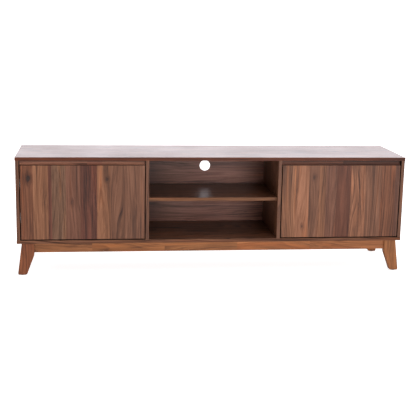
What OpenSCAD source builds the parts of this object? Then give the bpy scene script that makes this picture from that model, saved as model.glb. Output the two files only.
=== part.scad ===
// A long, low stand for a television: two side-hung cabinet doors, an open middle bay with one shelf,
// and a low solid-wood base on four splayed legs.
// X runs to the right, Y from the front to the back, and Z up. The origin is on the floor, under the middle.

/* [Overall] */
// Width over the top panel
stand_w = 1750; // [1400:10:2100]
// Depth over the top panel
stand_d = 390; // [320:5:470]
// Height from the floor to the top
stand_h = 532; // [480:1:640]
// Height of the base, from the floor to the bottom panel
base_h = 145; // [110:1:200]

/* [Carcass] */
// Thickness of the carcass boards
board_t = 15; // [14:1:18]
// How far the top and the bottom stand out past the side panels
side_lip = 2; // [0:0.5:5]
// Clear width of the open middle bay
bay_w = 581; // [400:1:750]
// Height of the rail above each door
top_rail_h = 37; // [30:1:60]
// Thickness of the back panels
back_t = 3; // [3:0.5:6]
// How far the back panels are set in from the rear edge of the top
back_inset = 3; // [3:0.5:10]
// Gap between two neighbouring back panels
back_gap = 1; // [0.5:0.5:3]
// Radius of the cable hole in the middle back panel
cable_hole_r = 25; // [15:1:35]
// Drop from the underside of the top to the middle of the cable hole
cable_hole_drop = 83; // [60:1:110]

/* [Shelf] */
// Thickness of the middle shelf
shelf_t = 15; // [12:1:18]
// Height of the shelf's underside above the bottom panel
shelf_rise = 171.5; // [120:0.5:220]
// Set-back of the shelf's front edge
shelf_setback = 20; // [5:1:60]
// Gap between the shelf and each divider
shelf_side_gap = 0.75; // [0.5:0.05:2]
// Gap between the shelf and the back panel
shelf_back_gap = 2; // [1:0.5:10]
// Diameter of the shelf pins
shelf_pin_d = 5; // [4:0.5:7]
// Height step between the shelf's positions
shelf_step = 32; // [20:1:40]

/* [Doors] */
// Thickness of the doors
door_t = 15; // [14:1:18]
// Gap beside and below each door
door_gap = 4.5; // [3.5:0.1:6]
// Finger gap between a door and the top panel
finger_gap = 21; // [16:0.5:26]
// Least gap between a turning door's corner and what is behind it
swing_air = 0.5; // [0.4:0.1:1]

/* [Hinges] */
// Distance of the hinge axis from the door's outer edge
pivot_edge = 10; // [9:0.5:12]
// Radius of the hinge cup
cup_r = 17.5; // [17:0.5:18]
// Depth of the cup bore in the door
cup_bore_depth = 12; // [11.5:0.1:12.5]
// Distance of the cup's middle from the door's outer edge
cup_edge = 21.5; // [21:0.5:23]
// Radius of the hinge pin
pin_r = 1.25; // [1:0.05:1.5]
// Radial running clearance between the pin and the arm
pin_play = 0.05; // [0.02:0.01:0.1]
// Distance of each hinge from the door's top or bottom edge
hinge_inset = 90; // [70:1:120]

/* [Base] */
// Height of the base rails
rail_h = 43; // [35:1:60]
// Thickness of the base rails
rail_t = 20; // [18:1:25]
// Thickness of the legs
leg_t = 28; // [25:1:35]
// Width of a leg at its top
leg_top_w = 54; // [45:1:65]
// Width of a leg at its foot
leg_foot_w = 40; // [30:1:45]
// Sideways splay of a leg's outer edge, from top to foot
leg_splay = 19; // [5:1:30]
// How far below the rails a leg starts to taper
leg_taper_drop = 12; // [0:1:30]
// Distance from the end of the carcass to the top of a leg
leg_inset = 20; // [10:1:60]
// Set-back of the front and rear legs from the carcass edges
leg_setback = 5; // [2:1:20]
// Thickness of the foot glides
glide_t = 2; // [1.5:0.5:4]

/* [Hidden] */
$fn = 48;

// Colours
walnut = [0.42, 0.29, 0.23];
walnut_edge = [0.33, 0.22, 0.17];
solid_wood = [0.58, 0.36, 0.22];
pale_wood = [0.80, 0.66, 0.48];
steel = [0.72, 0.72, 0.74];
zinc = [0.60, 0.60, 0.62];
plastic = [0.20, 0.20, 0.21];
silicone = [0.85, 0.86, 0.88];

// General clearances
hole_play = 0.1;
cut = 1;

// Main planes
front_y = -stand_d / 2;
carcass_back_y = stand_d / 2 - back_inset - back_t;
top_z = stand_h - board_t;
floor_z = base_h + board_t;
side_out_x = stand_w / 2 - side_lip;
side_in_x = side_out_x - board_t;
divider_in_x = bay_w / 2;
divider_out_x = divider_in_x + board_t;
side_mid_x = side_in_x + board_t / 2;
divider_mid_x = divider_in_x + board_t / 2;
vertical_xs = [side_mid_x, divider_mid_x];

// Fastener places along the depth
cam_inset = 60;
top_dowel_inset = 92;
carcass_screw_inset = 45;
cam_ys = [front_y + cam_inset, carcass_back_y - cam_inset];
top_dowel_ys = [front_y + top_dowel_inset, carcass_back_y - top_dowel_inset];
carcass_screw_ys = [
    front_y + carcass_screw_inset,
    (front_y + carcass_back_y) / 2,
    carcass_back_y - carcass_screw_inset
];

// Cam locks: a disc let into the board, and a bolt that comes down from the top panel
cam_r = 7.5;
cam_l = 12.5;
cam_drop = 34;
cam_z = top_z - cam_drop;
cam_slot_end = 3.5;
cam_slot_w = 7;
cam_slot_drop = 4.5;
cam_mark_l = 9;
cam_mark_w = 1.6;
cam_mark_depth = 2;
bolt_r = 3;
bolt_in_top = 10;
bolt_neck_r = 1.7;
bolt_head_r = 3;
bolt_head_l = 4;

// Dowels
dowel_r = 4;
dowel_l = 30;
dowel_spare = 0.5;
top_dowel_in_top = 10;
rail_dowel_in_panel = 10;
rail_dowel_drops = [10, 27];

// Carcass screws, up through the bottom panel
carcass_screw_r = 2.5;
carcass_screw_l = 50;
carcass_head_r = 5;
carcass_head_l = 3;
hex_key_r = 2.2;
hex_key_depth = 2;

// Shelf
shelf_z = floor_z + shelf_rise;
shelf_front_y = front_y + shelf_setback;
shelf_back_y = carcass_back_y - shelf_back_gap;
shelf_pin_inset = 40;
shelf_pin_ys = [shelf_front_y + shelf_pin_inset, shelf_back_y - shelf_pin_inset];
shelf_pin_drop = 4;
shelf_pin_in = 8;
shelf_collar_l = 1.5;
shelf_spoon_l = 11;
shelf_spoon_w = 8;
shelf_spoon_t = 2;
shelf_pin_zs = [for (i = [-1:1]) shelf_z - shelf_pin_drop + i * shelf_step];

// Back panels
back_front_y = carcass_back_y;
back_foot_gap = 2;
back_low_z = base_h + back_foot_gap;
back_screw_r = 1.6;
back_screw_l = 14;
back_head_r = 3.5;
back_head_l = 1.6;
back_screw_offset = 3.6;
back_screw_inset = 45;
back_screw_zs = [floor_z + back_screw_inset, (floor_z + top_z) / 2, top_z - back_screw_inset];
back_foot_z = base_h + board_t / 2;
cabinet_mid_x = (side_in_x + divider_out_x) / 2;
back_foot_spread = 150;
back_foot_xs = [cabinet_mid_x - back_foot_spread, cabinet_mid_x + back_foot_spread, divider_in_x / 3];

// A turning door's rear corner sweeps a circle of this radius about the hinge axis
corner_r = norm([pivot_edge, door_t / 2]);

// Rail above each door, which the door closes against
top_rail_y = front_y + door_t / 2 + corner_r + swing_air;
top_rail_low_z = top_z - top_rail_h;

// Doors, described on the right-hand side and mirrored to the left
door_out_x = side_in_x - door_gap;
door_in_x = divider_out_x + door_gap;
door_low_z = floor_z + door_gap;
door_high_z = top_z - finger_gap;
door_back_y = front_y + door_t;
hinge_zs = [door_low_z + hinge_inset, door_high_z - hinge_inset];

// Hinges: u is the distance in from the side panel, v the distance back from the front
pivot_u = door_gap + pivot_edge;
pivot_v = door_t / 2;
eye_half_h = 4;
eye_r = 2.6;
eye_air = 0.4;
cup_u = door_gap + cup_edge;
cup_wall = 1;
cup_play = 0.1;
cup_spare = 0.5;
cup_deep_v = pivot_v - eye_r - eye_air - cup_wall;
cup_depth = max(cup_bore_depth - cup_spare, door_t - cup_deep_v);
cup_floor_v = door_t - cup_depth + cup_wall;
cup_bore_l = cup_depth + cup_spare;
flange_t = 1.2;
flange_r = 19.5;
flange_shift = 4;
flange_w = 18;
flange_l = 62;
cup_screw_z = 24;
cup_screw_u = cup_u + flange_shift;
cup_screw_r = 1.75;
cup_screw_l = 10;
cup_head_r = 3.2;
cup_head_l = 1.4;
ear_half = 2.6;
ear_t = 2;
ear_gap = 0.5;
ear_high_v = pivot_v + ear_half;
ear_reach = eye_half_h + ear_gap + ear_t;
neck_t = 2.4;
neck_reach = 12.5;
arm_half_h = 7;
arm_return_v = pivot_v + corner_r + swing_air;
arm_l = 56;
arm_end_v = arm_return_v + arm_l;
arm_wall = 1.2;
plate_t = 2;
plate_v0 = 40;
plate_v1 = 66;
plate_half_h = 22;
plate_screw_v = 52;
plate_screw_z = 16;
plate_screw_r = 1.75;
plate_screw_l = 11;
plate_head_r = 3.4;
plate_head_l = 1.6;
arm_screw_v = 60;
arm_screw_r = 2;
arm_screw_l = 13;
arm_head_r = 4;
arm_flange_u = 8;

// Door bumpers on the rail
bumper_r = 5;
bumper_air = 0.1;
bumper_l = top_rail_y - door_back_y - bumper_air;
bumper_z = (top_rail_low_z + door_high_z) / 2;
bumper_in = 30;
bumper_out = 60;
bumper_xs = [door_in_x + bumper_in, door_out_x - bumper_out];

// Base
rail_low_z = base_h - rail_h;
leg_out_x = side_out_x - leg_inset;
leg_in_x = leg_out_x - leg_top_w;
leg_foot_out_x = leg_out_x + leg_splay;
leg_foot_in_x = leg_foot_out_x - leg_foot_w;
leg_corner_r = 7;
leg_corner_steps = 6;
front_leg_y = front_y + leg_setback;
rear_leg_y = stand_d / 2 - leg_setback - leg_t;
front_rail_y = front_leg_y + leg_t - rail_t;
rear_rail_y = rear_leg_y;
side_rail_out_x = leg_in_x + (leg_top_w + rail_t) / 2;
side_rail_in_x = side_rail_out_x - rail_t;
side_rail_front_y = front_leg_y + leg_t;
base_dowel_inset = 11;
base_dowel_zs = [rail_low_z + base_dowel_inset, base_h - base_dowel_inset];
block_w = 55;
block_h = 24;
block_screw_in = 17;
block_screw_r = 2;
block_screw_l = 34;
block_head_r = 4;
block_head_l = 3;
glide_r = 9;
glide_pin_r = 1.5;
glide_pin_l = 12;
glide_x = (leg_foot_in_x + leg_foot_out_x) / 2;

// Helpers -------------------------------------------------------------------------------------------

// Draws what is described on the right-hand side at side 1, or its mirror image at side -1
module on_side(side) {
    if (side > 0) children();
    else mirror([1, 0, 0]) children();
}

// Draws on both sides
module on_both_sides() {
    for (side = [-1, 1]) on_side(side) children();
}

// A box between two opposite corners
module box(low, high) {
    translate(low) cube(high - low);
}

// Round bars along each axis, from a start point
module bar_x(start, r, l) {
    translate(start) rotate([0, 90, 0]) cylinder(r = r, h = l);
}

module bar_y(start, r, l) {
    translate(start) rotate([-90, 0, 0]) cylinder(r = r, h = l);
}

module bar_z(start, r, l) {
    translate(start) cylinder(r = r, h = l);
}

// Points that round one corner of an outline
function unit(v) = v / norm(v);
function arc_corner(before, corner, after, r, steps) =
    let (
        a = unit(before - corner),
        b = unit(after - corner),
        half = acos(a * b) / 2,
        middle = corner + unit(a + b) * r / sin(half),
        start = corner + a * r / tan(half) - middle,
        end = corner + b * r / tan(half) - middle,
        turn = 180 - 2 * half
    )
    [for (i = [0:steps])
        middle + (start * sin(turn * (1 - i / steps)) + end * sin(turn * i / steps)) / sin(turn)];

// Carcass joints ------------------------------------------------------------------------------------

// The disc of a cam lock, lying along X, with its open face at x = 0 and its slot upward
module cam_disc() {
    difference() {
        bar_x([0, 0, 0], cam_r, cam_l);
        box([cam_slot_end, -cam_slot_w / 2, -cam_slot_drop], [cam_l + cut, cam_slot_w / 2, cam_r + cut]);
        box([-cut, -cam_mark_l / 2, -cam_mark_w / 2], [cam_mark_depth, cam_mark_l / 2, cam_mark_w / 2]);
        box([-cut, -cam_mark_w / 2, -cam_mark_l / 2], [cam_mark_depth, cam_mark_w / 2, cam_mark_l / 2]);
    }
}

// Places children at the open face of each cam lock on the right-hand side: side panel, then divider
module at_cams() {
    for (y = cam_ys) {
        translate([side_in_x, y, cam_z]) children();
        translate([divider_out_x, y, cam_z]) mirror([1, 0, 0]) children();
    }
}

// One cam bolt, hanging down from the top panel at the middle of a board
module cam_bolt() {
    bar_z([0, 0, cam_z + cam_r], bolt_r, top_z + bolt_in_top - cam_z - cam_r);
    bar_z([0, 0, cam_z], bolt_neck_r, cam_r + cut);
    bar_z([0, 0, cam_z - bolt_head_l / 2], bolt_head_r, bolt_head_l);
}

// Holes that a vertical board at x takes: cam bolts, dowels and carcass screws
module vertical_board_holes(x) {
    for (y = cam_ys) bar_z([x, y, cam_z - bolt_head_l], bolt_r + hole_play, cam_drop + bolt_head_l + cut);
    for (y = top_dowel_ys) top_dowel(x, y, hole_play, dowel_spare);
    for (y = carcass_screw_ys) {
        bar_z([x, y, base_h], carcass_screw_r + hole_play, carcass_screw_l + dowel_spare);
    }
}

// A dowel between the top panel and a vertical board
module top_dowel(x, y, play = 0, spare = 0) {
    bar_z([x, y, top_z + top_dowel_in_top - dowel_l - spare], dowel_r + play, dowel_l + spare);
}

// The dowels at both ends of the rail above a right-hand door
module top_rail_dowels(play = 0, spare = 0) {
    for (drop = rail_dowel_drops) {
        y = top_rail_y + board_t / 2;
        start_x = side_in_x + rail_dowel_in_panel - dowel_l - spare;
        bar_x([start_x, y, top_z - drop], dowel_r + play, dowel_l + spare);
        bar_x([divider_out_x - rail_dowel_in_panel, y, top_z - drop], dowel_r + play, dowel_l + spare);
    }
}

// One screw along +Y through a back panel, from its place on the panel's front face
module back_screw(place, play = 0) {
    reach = back_screw_l - back_t;
    bar_y([place[0], back_front_y - reach, place[1]], back_screw_r + play, back_screw_l);
}

// The places of the back screws on the right-hand side: outer panel, middle panel, then the bottom edge
back_screw_places = concat(
    [for (z = back_screw_zs) [side_mid_x, z]],
    [for (z = back_screw_zs) [divider_mid_x + back_screw_offset, z]],
    [for (z = back_screw_zs) [divider_mid_x - back_screw_offset, z]],
    [for (x = back_foot_xs) [x, back_foot_z]]
);

module back_screw_holes() {
    for (place = back_screw_places) back_screw(place, hole_play);
}

// Carcass boards ------------------------------------------------------------------------------------

module top_panel() {
    color(walnut)
    difference() {
        box([-stand_w / 2, front_y, top_z], [stand_w / 2, stand_d / 2, stand_h]);
        on_both_sides() for (x = vertical_xs) {
            for (y = cam_ys) bar_z([x, y, top_z - cut], bolt_r + hole_play, bolt_in_top + cut + dowel_spare);
            for (y = top_dowel_ys) top_dowel(x, y, hole_play);
        }
    }
}

module bottom_panel() {
    half = stand_w / 2 - side_lip / 2;
    color(walnut)
    difference() {
        box([-half, front_y, base_h], [half, carcass_back_y, floor_z]);
        on_both_sides() {
            for (x = vertical_xs, y = carcass_screw_ys) {
                bar_z([x, y, base_h - cut], carcass_screw_r + hole_play, board_t + 2 * cut);
                bar_z([x, y, base_h - cut], carcass_head_r + hole_play, carcass_head_l + cut);
            }
            back_screw_holes();
            block_screws_right(hole_play);
        }
    }
}

// The right-hand side panel
module side_panel() {
    difference() {
        box([side_in_x, front_y, floor_z], [side_out_x, carcass_back_y, top_z]);
        vertical_board_holes(side_mid_x);
        for (y = cam_ys) bar_x([side_in_x - cut, y, cam_z], cam_r + hole_play, cam_l + cut);
        top_rail_dowels(hole_play);
        back_screw_holes();
        for (z = hinge_zs) hinge_plate_screws_at(z, hole_play);
    }
}

module left_side_panel() color(walnut) on_side(-1) side_panel();
module right_side_panel() color(walnut) on_side(1) side_panel();

// The right-hand divider, with the shelf's pin holes on its bay side
module divider() {
    difference() {
        box([divider_in_x, front_y, floor_z], [divider_out_x, carcass_back_y, top_z]);
        vertical_board_holes(divider_mid_x);
        for (y = cam_ys) bar_x([divider_out_x - cam_l, y, cam_z], cam_r + hole_play, cam_l + cut);
        for (y = shelf_pin_ys, z = shelf_pin_zs) {
            bar_x([divider_in_x - cut, y, z], shelf_pin_d / 2 + hole_play, shelf_pin_in + cut + dowel_spare);
        }
        top_rail_dowels(hole_play);
        back_screw_holes();
    }
}

module left_divider() color(walnut) on_side(-1) divider();
module right_divider() color(walnut) on_side(1) divider();

// The rail above the right-hand door, set back behind it
module top_rail() {
    difference() {
        box([divider_out_x, top_rail_y, top_rail_low_z], [side_in_x, top_rail_y + board_t, top_z]);
        top_rail_dowels(hole_play, dowel_spare);
    }
}

module left_top_rail() color(walnut) on_side(-1) top_rail();
module right_top_rail() color(walnut) on_side(1) top_rail();

module middle_shelf() {
    shelf_half = bay_w / 2 - shelf_side_gap;
    color(walnut) box([-shelf_half, shelf_front_y, shelf_z], [shelf_half, shelf_back_y, shelf_z + shelf_t]);
}

module shelf_pins() {
    pin_z = shelf_z - shelf_pin_drop;
    color(steel) on_both_sides() for (y = shelf_pin_ys) {
        bar_x([divider_in_x, y, pin_z], shelf_pin_d / 2, shelf_pin_in);
        bar_x([divider_in_x - shelf_collar_l, y, pin_z], shelf_pin_drop, shelf_collar_l);
        box([divider_in_x - shelf_spoon_l, y - shelf_spoon_w / 2, shelf_z - shelf_spoon_t],
            [divider_in_x - shelf_collar_l / 2, y + shelf_spoon_w / 2, shelf_z]);
    }
}

// Back panels ---------------------------------------------------------------------------------------

module outer_back_panel() {
    difference() {
        box([divider_mid_x + back_gap / 2, back_front_y, back_low_z],
            [side_out_x, back_front_y + back_t, top_z]);
        back_screw_holes();
    }
}

module left_back_panel() color(walnut_edge) on_side(-1) outer_back_panel();
module right_back_panel() color(walnut_edge) on_side(1) outer_back_panel();

module middle_back_panel() {
    half = divider_mid_x - back_gap / 2;
    color(walnut_edge)
    difference() {
        box([-half, back_front_y, back_low_z], [half, back_front_y + back_t, top_z]);
        on_both_sides() back_screw_holes();
        bar_y([0, back_front_y - cut, top_z - cable_hole_drop], cable_hole_r, back_t + 2 * cut);
    }
}

module back_screws() {
    color(zinc) on_both_sides() for (place = back_screw_places) {
        back_screw(place);
        bar_y([place[0], back_front_y + back_t, place[1]], back_head_r, back_head_l);
    }
}

// Carcass fasteners ---------------------------------------------------------------------------------

module cam_locks() {
    color(zinc) on_both_sides() at_cams() cam_disc();
}

module cam_bolts() {
    color(steel) on_both_sides() for (x = vertical_xs, y = cam_ys) translate([x, y, 0]) cam_bolt();
}

module carcass_dowels() {
    color(pale_wood) on_both_sides() {
        for (x = vertical_xs, y = top_dowel_ys) top_dowel(x, y);
        top_rail_dowels();
    }
}

module carcass_screws() {
    color(zinc) on_both_sides() for (x = vertical_xs, y = carcass_screw_ys) {
        difference() {
            union() {
                bar_z([x, y, base_h], carcass_screw_r, carcass_screw_l);
                bar_z([x, y, base_h], carcass_head_r, carcass_head_l);
            }
            translate([x, y, base_h - cut]) cylinder(r = hex_key_r, h = hex_key_depth + cut, $fn = 6);
        }
    }
}

// Doors ---------------------------------------------------------------------------------------------

// The right-hand door, with its cup bores and pilot holes
module door() {
    difference() {
        box([door_in_x, front_y, door_low_z], [door_out_x, door_back_y, door_high_z]);
        for (z = hinge_zs) at_hinge(z) {
            bar_y([-cup_u, door_t - cup_bore_l, 0], cup_r + cup_play, cup_bore_l + cut);
            cup_screw_pair(hole_play);
        }
    }
}

module left_door() color(walnut) on_side(-1) door();
module right_door() color(walnut) on_side(1) door();

// Moves to the front edge of the right-hand side panel's inner face, at a hinge's height
module at_hinge(z) {
    translate([side_in_x, front_y, z]) children();
}

module cup_screw_pair(play = 0) {
    tip_v = door_t + flange_t - cup_screw_l;
    for (side = [-1, 1]) {
        bar_y([-cup_screw_u, tip_v, side * cup_screw_z], cup_screw_r + play, cup_screw_l);
    }
}

// A pressed cup with its flange and the two ears that carry the pin
module hinge_cup() {
    difference() {
        union() {
            bar_y([-cup_u, door_t - cup_depth, 0], cup_r, cup_depth);
            bar_y([-cup_u, door_t, 0], flange_r, flange_t);
            box([-cup_screw_u - flange_w / 2, door_t, -flange_l / 2],
                [-cup_screw_u + flange_w / 2, door_t + flange_t, flange_l / 2]);
        }
        bar_y([-cup_u, cup_floor_v, 0], cup_r - cup_wall, cup_depth + flange_t);
        cup_screw_pair(hole_play);
    }
    difference() {
        for (side = [-1, 1]) {
            ear_z = side * (eye_half_h + ear_gap + ear_t / 2);
            box([-pivot_u - ear_half, cup_floor_v - cup_wall / 2, ear_z - ear_t / 2],
                [-pivot_u + ear_half, ear_high_v, ear_z + ear_t / 2]);
        }
        bar_z([-pivot_u, pivot_v, -ear_reach - cut], pin_r, 2 * (ear_reach + cut));
    }
}

module left_hinge_cups() color(steel) on_side(-1) for (z = hinge_zs) at_hinge(z) hinge_cup();
module right_hinge_cups() color(steel) on_side(1) for (z = hinge_zs) at_hinge(z) hinge_cup();

module hinge_pin() {
    bar_z([-pivot_u, pivot_v, -ear_reach], pin_r, 2 * ear_reach);
}

module left_hinge_pins() color(zinc) on_side(-1) for (z = hinge_zs) at_hinge(z) hinge_pin();
module right_hinge_pins() color(zinc) on_side(1) for (z = hinge_zs) at_hinge(z) hinge_pin();

module cup_screws() {
    cup_screw_pair();
    for (side = [-1, 1]) bar_y([-cup_screw_u, door_t + flange_t, side * cup_screw_z], cup_head_r, cup_head_l);
}

module left_cup_screws() color(zinc) on_side(-1) for (z = hinge_zs) at_hinge(z) cup_screws();
module right_cup_screws() color(zinc) on_side(1) for (z = hinge_zs) at_hinge(z) cup_screws();

// The bent arm: an eye on the pin, a neck into the cup, an upright out of it, and a channel on the side panel
module hinge_arm() {
    neck_u = pivot_u + neck_reach + neck_t / 2;
    neck_v = pivot_v - neck_t / 2;
    difference() {
        union() {
            bar_z([-pivot_u, pivot_v, -eye_half_h], eye_r, 2 * eye_half_h);
            box([-neck_u, neck_v, -eye_half_h], [-pivot_u, neck_v + neck_t, eye_half_h]);
            box([-neck_u, neck_v, -arm_half_h], [-neck_u + neck_t, arm_return_v + neck_t, arm_half_h]);
            box([-neck_u, arm_return_v, -arm_half_h], [-plate_t, arm_return_v + neck_t, arm_half_h]);
            box([-plate_t - arm_wall, arm_return_v, -arm_half_h], [-plate_t, arm_end_v, arm_half_h]);
            for (side = [-1, 1]) {
                wall_z = side * (arm_half_h - arm_wall / 2);
                box([-arm_flange_u - plate_t, arm_return_v, wall_z - arm_wall / 2],
                    [-plate_t, arm_end_v, wall_z + arm_wall / 2]);
            }
        }
        bar_z([-pivot_u, pivot_v, -arm_half_h - cut], pin_r + pin_play, 2 * (arm_half_h + cut));
        arm_screw(hole_play);
    }
}

module arm_screw(play = 0) {
    bar_x([-plate_t - arm_wall, arm_screw_v, 0], arm_screw_r + play, arm_screw_l);
}

module left_hinge_arms() color(steel) on_side(-1) for (z = hinge_zs) at_hinge(z) hinge_arm();
module right_hinge_arms() color(steel) on_side(1) for (z = hinge_zs) at_hinge(z) hinge_arm();

module plate_screw_pair(play = 0) {
    for (side = [-1, 1]) {
        bar_x([-plate_t, plate_screw_v, side * plate_screw_z], plate_screw_r + play, plate_screw_l + plate_t);
    }
}

module hinge_plate() {
    difference() {
        box([-plate_t, plate_v0, -plate_half_h], [0, plate_v1, plate_half_h]);
        plate_screw_pair(hole_play);
        arm_screw(hole_play);
    }
}

module left_hinge_plates() color(steel) on_side(-1) for (z = hinge_zs) at_hinge(z) hinge_plate();
module right_hinge_plates() color(steel) on_side(1) for (z = hinge_zs) at_hinge(z) hinge_plate();

module hinge_plate_screws_at(z, play = 0) {
    at_hinge(z) {
        plate_screw_pair(play);
        arm_screw(play);
    }
}

module hinge_plate_screws() {
    color(zinc) on_both_sides() for (z = hinge_zs) {
        hinge_plate_screws_at(z);
        at_hinge(z) {
            head_x = -plate_t - plate_head_l;
            for (side = [-1, 1]) {
                bar_x([head_x, plate_screw_v, side * plate_screw_z], plate_head_r, plate_head_l);
            }
            bar_x([head_x - arm_wall, arm_screw_v, 0], arm_head_r, plate_head_l);
        }
    }
}

module door_bumpers() {
    color(silicone) on_both_sides() for (x = bumper_xs) {
        bar_y([x, door_back_y + bumper_air, bumper_z], bumper_r, bumper_l);
    }
}

// Base ----------------------------------------------------------------------------------------------

// The dowels between the right-hand legs and the ends of the front and rear rails
module long_rail_dowels(play = 0, spare = 0) {
    for (z = base_dowel_zs, y = [front_rail_y + rail_t / 2, rear_rail_y + rail_t / 2]) {
        bar_x([leg_in_x - dowel_l / 2 - spare, y, z], dowel_r + play, dowel_l + 2 * spare);
    }
}

// The dowels between the right-hand legs and the side rail
module side_dowels(play = 0, spare = 0) {
    x = side_rail_in_x + rail_t / 2;
    for (z = base_dowel_zs, y = [side_rail_front_y, rear_leg_y]) {
        bar_y([x, y - dowel_l / 2 - spare, z], dowel_r + play, dowel_l + 2 * spare);
    }
}

// The cross rail's dowels, in the middle of the stand
module cross_dowels(play = 0, spare = 0) {
    for (z = base_dowel_zs, y = [side_rail_front_y, rear_leg_y]) {
        bar_y([0, y - dowel_l / 2 - spare, z], dowel_r + play, dowel_l + 2 * spare);
    }
}

module long_rail(y) {
    difference() {
        box([-leg_in_x, y, rail_low_z], [leg_in_x, y + rail_t, base_h]);
        on_both_sides() long_rail_dowels(hole_play, dowel_spare);
        cross_dowels(hole_play, dowel_spare);
    }
}

module front_rail() color(solid_wood) long_rail(front_rail_y);
module rear_rail() color(solid_wood) long_rail(rear_rail_y);

module side_rail() {
    difference() {
        box([side_rail_in_x, side_rail_front_y, rail_low_z], [side_rail_out_x, rear_leg_y, base_h]);
        side_dowels(hole_play, dowel_spare);
    }
}

module left_side_rail() color(solid_wood) on_side(-1) side_rail();
module right_side_rail() color(solid_wood) on_side(1) side_rail();

module cross_rail() {
    color(solid_wood)
    difference() {
        box([-rail_t / 2, side_rail_front_y, rail_low_z], [rail_t / 2, rear_leg_y, base_h]);
        cross_dowels(hole_play, dowel_spare);
    }
}

// A right-hand leg: straight splayed outer edge, inner edge upright and then tapering, rounded foot corners
module leg(y) {
    top_out = [leg_out_x, base_h];
    top_in = [leg_in_x, base_h];
    bend = [leg_in_x, rail_low_z - leg_taper_drop];
    foot_in = [leg_foot_in_x, glide_t];
    foot_out = [leg_foot_out_x, glide_t];
    outline = concat(
        [top_out, top_in, bend],
        arc_corner(bend, foot_in, foot_out, leg_corner_r, leg_corner_steps),
        arc_corner(foot_in, foot_out, top_out, leg_corner_r, leg_corner_steps)
    );
    difference() {
        translate([0, y + leg_t, 0]) rotate([90, 0, 0]) linear_extrude(leg_t) polygon(outline);
        long_rail_dowels(hole_play, dowel_spare);
        side_dowels(hole_play, dowel_spare);
        bar_z([glide_x, y + leg_t / 2, glide_t - cut], glide_pin_r, glide_pin_l + cut);
    }
}

module front_left_leg() color(solid_wood) on_side(-1) leg(front_leg_y);
module front_right_leg() color(solid_wood) on_side(1) leg(front_leg_y);
module rear_left_leg() color(solid_wood) on_side(-1) leg(rear_leg_y);
module rear_right_leg() color(solid_wood) on_side(1) leg(rear_leg_y);

// One screw up through a corner block, for the front (end -1) or the rear (end 1) of the right-hand side
module block_screw(end, play = 0) {
    x = side_rail_in_x - block_screw_in;
    y = end < 0 ? side_rail_front_y + block_screw_in : rear_leg_y - block_screw_in;
    bar_z([x, y, base_h - block_h], block_screw_r + play, block_screw_l);
    bar_z([x, y, base_h - block_h], block_head_r + play, block_head_l);
}

module block_screws_right(play = 0) {
    for (end = [-1, 1]) block_screw(end, play);
}

// Triangular blocks in the corners of the base
module corner_blocks() {
    color(pale_wood) on_both_sides() for (end = [-1, 1]) {
        corner_y = end < 0 ? side_rail_front_y : rear_leg_y;
        difference() {
            translate([side_rail_in_x, corner_y, base_h - block_h])
            linear_extrude(block_h)
            polygon([[0, 0], [-block_w, 0], [0, -end * block_w]]);
            block_screw(end, hole_play);
            translate([0, 0, -cut]) block_screw(end, hole_play);
            long_rail_dowels(hole_play, dowel_spare);
        }
    }
}

module block_screws() {
    color(zinc) on_both_sides() block_screws_right();
}

module base_dowels() {
    color(pale_wood) {
        on_both_sides() {
            long_rail_dowels();
            side_dowels();
        }
        cross_dowels();
    }
}

module foot_glides() {
    color(plastic) on_both_sides() for (y = [front_leg_y, rear_leg_y]) {
        bar_z([glide_x, y + leg_t / 2, 0], glide_r, glide_t);
        bar_z([glide_x, y + leg_t / 2, glide_t - cut], glide_pin_r, glide_pin_l);
    }
}

// Drawing -------------------------------------------------------------------------------------------

top_panel();
bottom_panel();
left_side_panel();
right_side_panel();
left_divider();
right_divider();
left_top_rail();
right_top_rail();
middle_shelf();
shelf_pins();
left_back_panel();
middle_back_panel();
right_back_panel();
back_screws();
cam_locks();
cam_bolts();
carcass_dowels();
carcass_screws();
left_door();
right_door();
left_hinge_cups();
right_hinge_cups();
left_hinge_pins();
right_hinge_pins();
left_cup_screws();
right_cup_screws();
left_hinge_arms();
right_hinge_arms();
left_hinge_plates();
right_hinge_plates();
hinge_plate_screws();
door_bumpers();
front_rail();
rear_rail();
left_side_rail();
right_side_rail();
cross_rail();
front_left_leg();
front_right_leg();
rear_left_leg();
rear_right_leg();
corner_blocks();
block_screws();
base_dowels();
foot_glides();
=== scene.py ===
"""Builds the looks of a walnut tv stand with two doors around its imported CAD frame."""

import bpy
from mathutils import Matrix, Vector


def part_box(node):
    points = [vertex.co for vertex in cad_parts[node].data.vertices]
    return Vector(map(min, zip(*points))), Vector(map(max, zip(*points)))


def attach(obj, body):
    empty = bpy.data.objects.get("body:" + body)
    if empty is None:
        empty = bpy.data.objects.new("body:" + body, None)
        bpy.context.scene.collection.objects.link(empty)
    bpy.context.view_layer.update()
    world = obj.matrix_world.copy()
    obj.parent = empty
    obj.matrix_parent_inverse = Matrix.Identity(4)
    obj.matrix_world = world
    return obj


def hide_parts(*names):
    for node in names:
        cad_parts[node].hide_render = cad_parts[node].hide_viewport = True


bl_info = {
    "name": "Walnut TV Stand",
    "version": (1, 0, 0),
    "blender": (4, 5, 0),
    "location": "3D View > Sidebar > TV Stand",
    "description": "Models and finishes a walnut tv stand with a shelf bay and two hinged cabinets",
    "category": "Object",
}

import math

import bmesh
import bpy
from bpy.props import FloatProperty, FloatVectorProperty, IntProperty, PointerProperty
from mathutils import Matrix, Vector

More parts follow.
